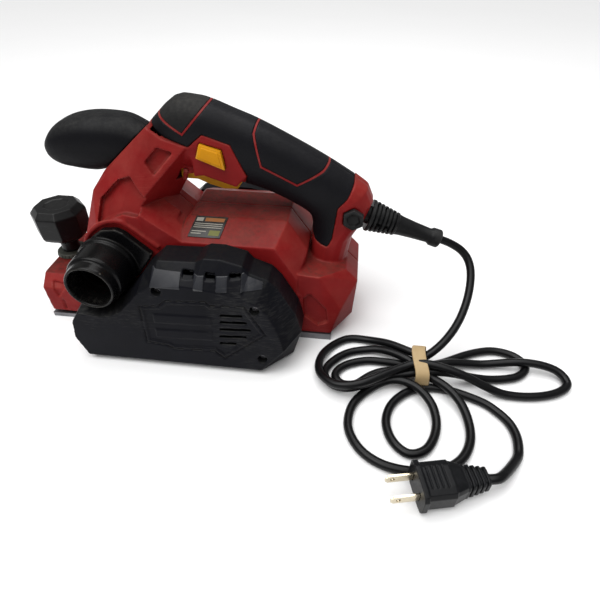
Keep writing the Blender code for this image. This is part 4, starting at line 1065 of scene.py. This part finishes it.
def facing(plane, side, offset=0.0, turned=False):
    """A plane of the +Y side, mirrored for the other side, moved outward and turned round as asked."""
    point, normal = plane[0].copy(), plane[1].normalized()
    point.y *= side
    normal.y *= side
    return point + normal * offset, -normal if turned else normal


def ramp(depth):
    """The slope from the motor bulge up to the neck, every face moved inward."""
    planes = [facing(RAMP_TOP, 1, -depth)] + [facing(RAMP_SIDE[side], side, -depth) for side in (1, -1)]
    return within(box(-38 + depth, -10.5 - depth, -43.8 + depth, 43.8 - depth, 70, 115), planes)


def opening_corner(side, grow):
    """What the handle opening takes from one side of the neck, grown for the wall behind it."""
    wall = facing(UNDERCUT, side, -grow, turned=True)
    edge = RAMP_EDGE[side]
    above = [facing(RAMP_SIDE[side], side, -grow, turned=True), facing(RAMP_TOP, side, -grow, turned=True)]
    outer = within(box(-60, -11.5, *span(side, edge, 60.0), 78, 119), [wall, above[0]])
    inner = within(box(-60, -11.5, *span(side, 0.0, edge + 0.2), 78, 119), [wall, above[1]])
    upper = within(box(-60, -3, *span(side, 12.0, 60.0), 117, 150), [wall])
    return [bm for bm in (outer, inner, upper) if bm.faces]


def fill_recess(shell, outline, block, side):
    """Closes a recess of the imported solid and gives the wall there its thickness."""
    back = solid("backing", prism(offset(outline, 2.5), *span(side, 12, 70)))
    keep(back, inset_hull(block, 0.03))
    cut(back, inset_hull(block, 8.0))
    add(shell, back)


def shape_opening(shell, neck, side):
    """The walls behind the handle opening's lower front corner, and the slope below it."""
    for wall in opening_corner(side, 3.0):
        wall = solid("wall", wall)
        keep(wall, inset_hull(neck, 0.05))
        add(shell, wall)
    slope = solid("slope", ramp(0.0))
    cut(slope, ramp(3.0))
    keep(slope, half_space(side))
    add(shell, slope)


def clear_rubber(shell):
    """Room for the rubber, which covers the neck's top like a collar."""
    under = solid("under", prism(offset(GRIP_ZONE, 0.2), -60, 60))
    keep(under, handle(-5.0))
    cut(under, handle(2.15), prism(offset(SWITCH_PANEL, 0.1), -61, 61))
    collar = solid("collar", prism(offset(GRIP_ZONE, 0.2), -60, 60))
    keep(collar, box(-80, -4, -60, 60, 140, 215))
    cut(collar, handle(2.15))
    cut(shell, under, collar)


def build_shell(name, side):
    neck, rear, front = (both_sides(points) for points in (NECK, REAR_BLOCK, FRONT_BLOCK))
    shell = from_frame("shell_" + name, "housing_" + name)
    for outline in (CAD_POCKET, CAD_WINDOW, POCKET, WINDOW):
        fill_recess(shell, outline, neck, side)
    fill_recess(shell, REAR_PANEL, rear, side)
    shape_opening(shell, neck, side)
    clear_rubber(shell)
    for corner in opening_corner(side, 0.0):
        corner = solid("corner", corner)
        cut(corner, handle(-0.4))
        cut(shell, corner)
    sunk = ((POCKET, neck, 4.2), (WINDOW, neck, 4.0), (REAR_PANEL, rear, 2.8), (FRONT_PANEL, front, 1.6))
    for outline, block, depth in sunk:
        cut(shell, recess(outline, block, depth, side))
    cut(shell, side_hull(side, FRONT_GROOVE))
    add(shell, *ridge_strip(ARCH, 3.0, *span(side, 42.8, 45.6)))
    add(shell, side_hull(side, NECK_RIDGE))
    soften(shell, 0.75, 4, ratio=0.42)
    finish_piece(shell, RED, "body", "red_plastic", "housing_" + name)


# Side covers

COVER_RIM = [
    (-82, 3), (-91.5, 22), (-90, 40.5), (-84, 46.5), (-76.5, 44.2), (-68.6, 43.4), (-60.5, 44.8),
    (-53, 49.5), (-45.4, 57), (-34, 72), (-21.5, 83.5), (6, 84.4), (12.4, 87.8), (23.2, 87.8), (38.6, 83.6),
    (43, 78), (56.2, 73), (63.3, 65), (75.7, 43), (80, 26), (74, 3),
]
COVER_FACE = [
    (-83.5, 3), (-92, 20), (-91, 34), (-85.5, 42), (-76.5, 41), (-68.5, 40.4), (-59.5, 42), (-50.5, 46.5),
    (-44, 53.5), (-36, 62.5), (-25, 69.5), (-1, 71.7), (6, 71), (15.2, 69.7), (32.5, 67.3), (39.4, 65.6),
    (49.7, 62), (57.7, 54), (65, 39), (69.5, 24), (51, 3.4),
]
PANEL = [
    (-32.9, 50.6), (-20.4, 51.8), (-14.9, 56.5), (13.1, 58.4), (16.3, 55.4), (40.2, 56.7), (52.6, 38),
    (25.1, 16.3), (18.5, 21.7), (-13.4, 20.4), (-18.2, 23), (-32.1, 24.5),
]
LOUVRES = [
    ((23.7, 49.9), (39.3, 50.8)), ((23.3, 44.3), (42, 45.2)), ((22.9, 38.1), (44.8, 39.4)),
    ((22.4, 31.9), (41.6, 33.2)), ((22, 25.9), (33.8, 26.5)),
]
STEPS = [(-2.6, 5.3), (13.7, 20.9), (30.5, 38.2)]  # dark gaps between the four lit facets
FACETS = [(-25, -3.6), (6.2, 12.9), (21.8, 29.6), (39, 53)]  # the lit facets between them
FACET_STRIP = [(-90, 69.6), (-90, 73), (-66, 80), (-66, 69.6)]
NEAR_SCREWS = ((-21.3, 66), (48.5, 56.5), (53.5, 15.5))
FAR_SCREWS = ((-72, 14), (58, 22))


COVER_SEAT = 44.4  # y of the plane on which the covers sit
# Side of the seam, depth of the cover at its foot, and how much its face leans in towards the top
NEAR_SHAPE = (-1, 43.5, 10)
FAR_SHAPE = (1, 28, 8)
SLIT_Y = 4.5  # depth of the louvres and slits


def face_y(z, shape):
    depth, lean = shape[1:]
    return COVER_SEAT + depth - max(0.0, z - 4.0) * lean / 62


def on_face(outline, shape, sunk, proud=12.0):
    """A solid over part of the leaning face, from a little under it to clear of it."""
    side = shape[0]
    inner = [(x, side * (face_y(z, shape) - sunk), z) for x, z in outline]
    outer = [(x, side * (face_y(z, shape) + proud), z) for x, z in outline]
    return rings([inner, outer])


def cover_skin(shape, shrink):
    """The cover's outer form, every face moved inward."""
    side, depth = shape[:2]
    rim = offset(COVER_RIM, -shrink)
    face = offset(COVER_FACE, -shrink * 0.7)
    start = COVER_SEAT - (1.0 if shrink else 0.0)
    seat, middle = ([(x, side * y, z) for x, z in rim] for y in (start, COVER_SEAT + depth * 0.46))
    return rings([seat, middle, [(x, side * (face_y(z, shape) - shrink), z) for x, z in face]])


def cut_groove(cover, outline, shape, outer, inner, depth):
    """A fine groove round an outline on the face."""
    groove = solid("groove", on_face(offset(outline, outer), shape, depth))
    cut(groove, on_face(offset(outline, inner), shape, 3.0, 20))
    cut(cover, groove)


def slit(x0, z0, x1, z1, half, tip):
    """A slit's outline with pointed ends."""
    upper = [(x1 + tip, z1), (x1, z1 + half), (x0, z0 + half), (x0 - tip, z0)]
    return [(x0, z0 - half), (x1, z1 - half), *upper]


def detail_near(cover, shape):
    """The sunk panel with its louvres and bars, the gaps between the facets and the bevelled lower edge."""
    cut(cover, on_face(PANEL, shape, 0.9))
    cut_groove(cover, PANEL, shape, 3.2, 1.9, 1.2)
    for start, end in LOUVRES:
        cut(cover, on_face(slit(*start, *end, 1.05, 0.8), shape, SLIT_Y))
    for z in (44.5, 31.8):
        bar = [(-26, z - 4.6), (16.5, z - 3.2), (16.5, z + 3.6), (-26, z + 2.2)]
        add(cover, on_face(bar, shape, 1.4, -0.25))
    for x0, x1 in STEPS:
        top = [(x, -61.5, 79.5) for x in (x0, x1)]
        tool = solid("gap", hull([(x, -90, z) for z in (69.2, 82) for x in (x0, x1)] + top))
        back = copy_of(tool, "gap_back")
        keep(back, cover_skin(shape, 0.3))
        cut(back, cover_skin(shape, 6.5))
        add(cover, back)
        cut(tool, cover_skin(shape, 3.6))
        cut(cover, tool)
    cut(cover, hull([(x, y, z) for x in (-100, 95) for y, z in ((-90.5, 8.2), (-90.5, 1.0), (-84.2, 1.0))]))


def detail_far(cover, shape):
    """Six slits and a groove near the edge of the face."""
    for k in range(6):
        z = 24 + 6.4 * k
        cut(cover, on_face(slit(-34 + 1.5 * k, z, 40, z, 1.1, 1), shape, SLIT_Y))
    cut_groove(cover, COVER_FACE, shape, -5.0, -6.2, 0.6)


def screw_head(name, at, side, angle):
    """A domed head with a cross cut into it."""
    rows = [(0, 2.8), (0.5, 3.0), (1.2, 2.9), (1.6, 2.4), (1.8, 1.6)]
    head = solid(name, lathe(rows, 36, at, (0, side, 0)))
    tip = Matrix.Rotation(math.radians(-90 * side), 3, "X")
    for turn_by in (0, 90):
        bar = box(-2.0, 2.0, -0.32, 0.32, 0.9, 4)
        spin = Matrix.Rotation(math.radians(turn_by + angle), 3, "Z")
        for matrix in (spin, tip):
            bmesh.ops.rotate(bar, cent=(0, 0, 0), matrix=matrix, verts=bar.verts)
        bmesh.ops.translate(bar, vec=at, verts=bar.verts)
        cut(head, bar)
    smooth_faces(head, 35)
    return finish_piece(head, DARK_STEEL, "body", "steel")


def build_facets(shape):
    """Lit facets along the near cover's sloping top edge, in a lighter black that is their painted light."""
    for k, ends in enumerate(FACETS):
        facet = solid(f"cover_facet_{k + 1}", hull([(x, y, z) for x in ends for y, z in FACET_STRIP]))
        keep(facet, cover_skin(shape, -0.45))
        cut(facet, cover_skin(shape, 0.6))
        rounded(facet, 0.35, 3)
        finish_piece(facet, PAINTED_LIT_FACET, "body", "black_plastic")


def build_cover(name, cad, shape, screws, detail):
    """One hollow cover with its screws, whose heads it returns."""
    side = shape[0]
    cover = solid(name, cover_skin(shape, 0.0))
    cut(cover, cover_skin(shape, 2.6))
    for x, z in screws:
        post = solid("post", disc_y(x, z, 6.4, *span(side, 45, face_y(z, shape) + 3)))
        keep(post, cover_skin(shape, 0.0))
        add(cover, post)
    detail(cover, shape)
    heads = []
    for k, (x, z) in enumerate(screws):
        y = face_y(z, shape)
        cut(cover, disc_y(x, z, 3.6, *span(side, y - 5.0, y + 12)))
        heads.append(screw_head(f"{name}_screw_head_{k + 1}", (x, side * (y - 5.2), z), side, 25 + 40 * k))
    soften(cover, 0.58, 2, ratio=0.5)
    finish_piece(cover, BLACK, "body", "black_plastic", cad)
    return heads


# Dust port

FLANGE = [
    (-87.5, 62), (-86, 72), (-82, 81), (-75, 89), (-66.5, 94.8), (-56, 96), (-50.5, 93.5), (-41, 84.5),
    (-33, 77), (-34.6, 73), (-46, 58.2), (-53.6, 50.6), (-61, 45.8), (-68.6, 44.5), (-76.5, 45.3),
    (-83, 50),
]
PORT = (-68.6, 66.6)  # x and z of the outlet's middle


def build_port():
    port = solid("dust_outlet", prism(FLANGE, -49.6, -44.4))
    rows = [(0, 22.4), (3.4, 22.0), (4.6, 20.6), (22.6, 20.4), (24.0, 19.8), (24.6, 18.4)]
    rows += [(30.6, 18.0), (32.0, 17.6), (32.5, 17.0)]
    add(port, lathe(rows, 96, (PORT[0], -49.0, PORT[1]), (0, -1, 0)))
    cut(port, disc_y(*PORT, 15.5, -120, 0, 96))
    # A shallow lead-in at the mouth and a step inside
    cut(port, lathe([(0, 16.6), (1.2, 15.4)], 96, (PORT[0], -81.6, PORT[1]), (0, 1, 0)))
    cut(port, lathe([(0, 16.2), (18, 16.2)], 96, (PORT[0], -78.5, PORT[1]), (0, 1, 0)))
    soften(port, 0.5, 3, ratio=0.6)
    finish_piece(port, GLOSS, "body", "black_plastic", "dust_port")
    blank = solid("port_cover", prism(FLANGE, 44.4, 47.6))
    add(blank, lathe([(0, 18.4), (1.2, 17.4), (4.4, 17.0)], 72, (PORT[0], 47.0, PORT[1]), (0, 1, 0)))
    for k in (-1, 0, 1):
        cut(blank, box(PORT[0] - 9, PORT[0] + 9, 50.6, 60, PORT[1] + 5 * k - 0.9, PORT[1] + 5 * k + 0.9))
    soften(blank, 0.55, 2, ratio=0.6)
    finish_piece(blank, BLACK, "body", "black_plastic", "port_blank")


# Depth knob, trigger, lock button, column cap, label

KNOB_X = -132.5


def build_knob():
    flat = 20.0 / math.cos(math.pi / 8)
    rows = ((55.2, 0.62), (56.0, 0.72), (59.5, 0.93), (62.0, 0.98), (79.0, 1.0), (80.0, 0.99), (85.0, 0.78))
    loops = []
    for z, scale in rows:
        loop = []
        for k in range(8):
            a = math.pi / 8 + k * math.pi / 4
            loop.append((KNOB_X + 0.6 + flat * scale * math.cos(a), flat * scale * math.sin(a), z))
        loops.append(loop)
    knob = solid("adjuster_knob", rings(loops))
    # A shallow dish in the top
    cut(knob, lathe([(0, 9.5), (2.0, 11.5)], 8, (KNOB_X + 0.6, 0, 84.2), (0, 0, 1)))
    add(knob, lathe([(0, 7.4), (11, 7.2), (13, 8.0)], 48, (KNOB_X, 0, 42.4), (0, 0, 1)))
    add(knob, lathe([(0, 2.9), (30, 2.9)], 24, (KNOB_X, 0, 14.5), (0, 0, 1)))
    soften(knob, 0.45, 2, ratio=0.6)
    finish_piece(knob, KNOB, "depth_knob", "knob_plastic", "depth_knob")


def build_dial():
    """The scale ring under the knob, with 24 ticks cut into it, every third one taller."""
    rows = [(0, 12.2), (0.5, 12.6), (2.9, 12.0), (3.5, 11.2)]
    dial = solid("depth_scale_ring", lathe(rows, 96, (KNOB_X, 0, 38.4), (0, 0, 1), 3.6))
    for k in range(24):
        a = 2 * math.pi * k / 24
        out = Vector((math.cos(a), math.sin(a), 0))
        across = Vector((-out.y, out.x, 0))
        base = Vector((KNOB_X, 0, 0))
        tall = 4.4 if k % 3 == 0 else 2.9
        ends = [base + out * r + across * w for r in (14, 11.9) for w in (-0.35, 0.35)]
        cut(dial, hull([end + Vector((0, 0, z)) for end in ends for z in (38.3, 38.3 + tall)]))
    smooth_faces(dial, 30)
    finish_piece(dial, DIAL, "body", "grey_plastic", "depth_dial")


TRIGGER = [
    (-16.5, 122.5), (-16, 118), (-4.5, 118), (4.5, 114.4), (15, 111.4), (25, 111.8), (28.8, 117),
    (29.5, 126), (20, 127.5), (-8, 131.5), (-15, 129),
]
BUTTON = [(4.4, 149.3), (18.8, 145), (20.6, 131.8), (0.8, 139.4)]
BUTTON_MIDDLE = Vector((11.2, 141.4))
COLUMN_CAP = (112, 98.7)


def build_controls():
    trigger = solid("trigger_lever", prism(TRIGGER, -6.8, 6.8))
    cut(trigger, disc_y(-10.5, 126.5, 1.8, -10, 10, 24))
    rounded(trigger, 1.1, 4)
    finish_piece(trigger, OCHRE, "trigger", "yellow_plastic", "trigger")
    button = solid("lock_off_button", prism(BUTTON, -20.2, -12.2))
    face = [tuple(BUTTON_MIDDLE + (Vector(p) - BUTTON_MIDDLE) * 0.80) for p in BUTTON]
    add(button, rings([[(x, -19.8, z) for x, z in face], [(x, -20.9, z) for x, z in offset(face, -0.5)]]))
    rounded(button, 0.45, 3)
    finish_piece(button, YELLOW, "lock_button", "yellow_plastic", "lock_button")
    x, z = COLUMN_CAP
    angles = [math.pi * k / 3 for k in range(6)]
    corners = [(x + 8.3 * math.sin(a), z + 8.3 * math.cos(a)) for a in angles]
    hexa = solid("column_plug", prism(corners, -20.1, -15.9))
    cut(hexa, lathe([(0, 5.4), (2.4, 4.6)], 6, (x, -20.8, z), (0, 1, 0)))
    rounded(hexa, 0.6, 3)
    finish_piece(hexa, KNOB, "body", "black_plastic", "column_cap")


def build_label():
    """A dark plate on the near slope of the bulge, with plain blocks of colour and rows of bars."""
    slope = Vector((0, -(44.0 - 21.0), 86.0 - 96.0)).normalized()
    out = Vector((0, slope.z, -slope.y)).normalized()
    start = Vector((-4.0, -21.0, 96.0)) + slope * 0.8 + out * 0.3

    def plate(name, u0, u1, v0, v1, t0, t1):
        def at(u, v):
            return start + Vector((u - 3.0 * v / 19.0, 0, 0)) + slope * v

        corners = [at(u, v) + out * t for u in (u0, u1) for v in (v0, v1) for t in (t0, t1)]
        return solid(name, hull(corners))

    base = plate("rating_plate", 0, 24, 0, 19, 0.0, 0.4)
    rounded(base, 0.12, 2)
    finish_piece(base, LABEL, "body", "label_film", "label")
    white = [(1.4, 6.6, 1.6, 4.8), (1.4, 12.0, 13.4, 14.2), (1.4, 9.0, 15.4, 16.2)]
    white += [(1.4, 22.4, 6.6 + 1.7 * k, 7.25 + 1.7 * k) for k in range(3)]
    blocks = (
        ("white", WHITE_INK, white),
        ("orange", ORANGE_INK, [(8.0, 22.4, 1.6, 4.8)]),
        ("green", GREEN_INK, [(14.6, 22.4, 12.6, 17.2)]),
    )
    for name, material, patches in blocks:
        made = None
        for u0, u1, v0, v1 in patches:
            piece = plate("patch", u0, u1, v0, v1, 0.36, 0.46)
            made = piece if made is None else add(made, piece)
        made.name = "rating_plate_" + name
        finish_piece(made, material, "body", "label_film")


build_sleeve()
build_grips()
build_horn()
build_shell("left", -1)
build_shell("right", 1)
far_heads = build_cover("far_side_cover", "far_cover", FAR_SHAPE, FAR_SCREWS, detail_far)
near_heads = build_cover("near_side_cover", "belt_cover", NEAR_SHAPE, NEAR_SCREWS, detail_near)
build_facets(NEAR_SHAPE)
build_port()
build_knob()
build_dial()
build_controls()
build_label()

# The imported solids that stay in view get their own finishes.
PACKED_FINISHES = (
    (ALUMINIUM, "front_shoe rear_shoe cutter_drum drum_pulley motor_pulley"),
    (ALUMINIUM, "bearing_plate_left bearing_plate_right"),
    (STEEL, "blade_a blade_b trigger_spring screw_neck screw_column screw_rear"),
    (STEEL, "drum_bearing_left drum_bearing_right motor_bearing_left motor_bearing_right"),
    (DARK_STEEL, "armature stator blade_clamp_a blade_clamp_b"),
    (BRASS, "brush_holder_front brush_holder_rear"),
    (CARBON, "brush_front brush_rear"),
    (RUBBER, "drive_belt"),
    (GREY, "fan"),
    (BLACK, "switch"),
    (RED, "trigger_pin"),
)
for material, names in PACKED_FINISHES:
    for name in names.split():
        paint(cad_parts[name], material)
for name in ("front_shoe", "rear_shoe"):
    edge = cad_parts[name].modifiers.new("edge", "BEVEL")
    edge.width = 0.6 * MM
    edge.segments = 2
    edge.limit_method = "ANGLE"
    edge.angle_limit = math.radians(35)
for k in (1, 2, 3):
    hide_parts(f"belt_cover_screw_{k}")
for k in (1, 2):
    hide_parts(f"far_cover_screw_{k}")


# Floor and lights

floor_mesh = bpy.data.meshes.new("floor")
floor_mesh.from_pydata([(-3, -3, 0), (3, -3, 0), (3, 3, 0), (-3, 3, 0)], [], [(0, 1, 2, 3)])
floor = link("floor", floor_mesh)
floor_material, floor_tree, floor_shader = nodes_of("floor_white")
floor_net = Net(floor_tree)
floor_colour = floor_net.mix(floor_net.noise(3, 4), (0.93, 0.93, 0.93), (0.90, 0.90, 0.90))
floor_net.set(floor_shader.inputs["Base Color"], floor_colour)
floor_shader.inputs["Roughness"].default_value = 0.7
paint(floor, floor_material)


def soft_light(name, at, target, size, power):
    data = bpy.data.lights.new(name, "AREA")
    data.shape = "RECTANGLE"
    data.size, data.size_y = size
    data.energy = power
    light = link(name, data)
    light.location = at
    light.rotation_euler = (Vector(target) - Vector(at)).to_track_quat("-Z", "Y").to_euler()


soft_light("key_light", (-0.35, -0.35, 1.1), (0.0, 0.0, 0.05), (0.6, 0.6), 3.5)
soft_light("top_light", (0.15, 0.45, 1.2), (0.05, 0.0, 0.05), (0.9, 0.5), 5)
sun_data = bpy.data.lights.new("ceiling", "SUN")
sun_data.energy = 2.35
sun_data.angle = math.radians(70)
sun = link("ceiling", sun_data)
sun.rotation_euler = (math.radians(14), math.radians(-10), 0)
world = bpy.data.worlds.new("studio")
bpy.context.scene.world = world
world.use_nodes = True
background = world.node_tree.nodes["Background"]
background.inputs["Color"].default_value = (1, 1, 1, 1)
background.inputs["Strength"].default_value = 0.24
bpy.context.scene.view_settings.view_transform = "Standard"
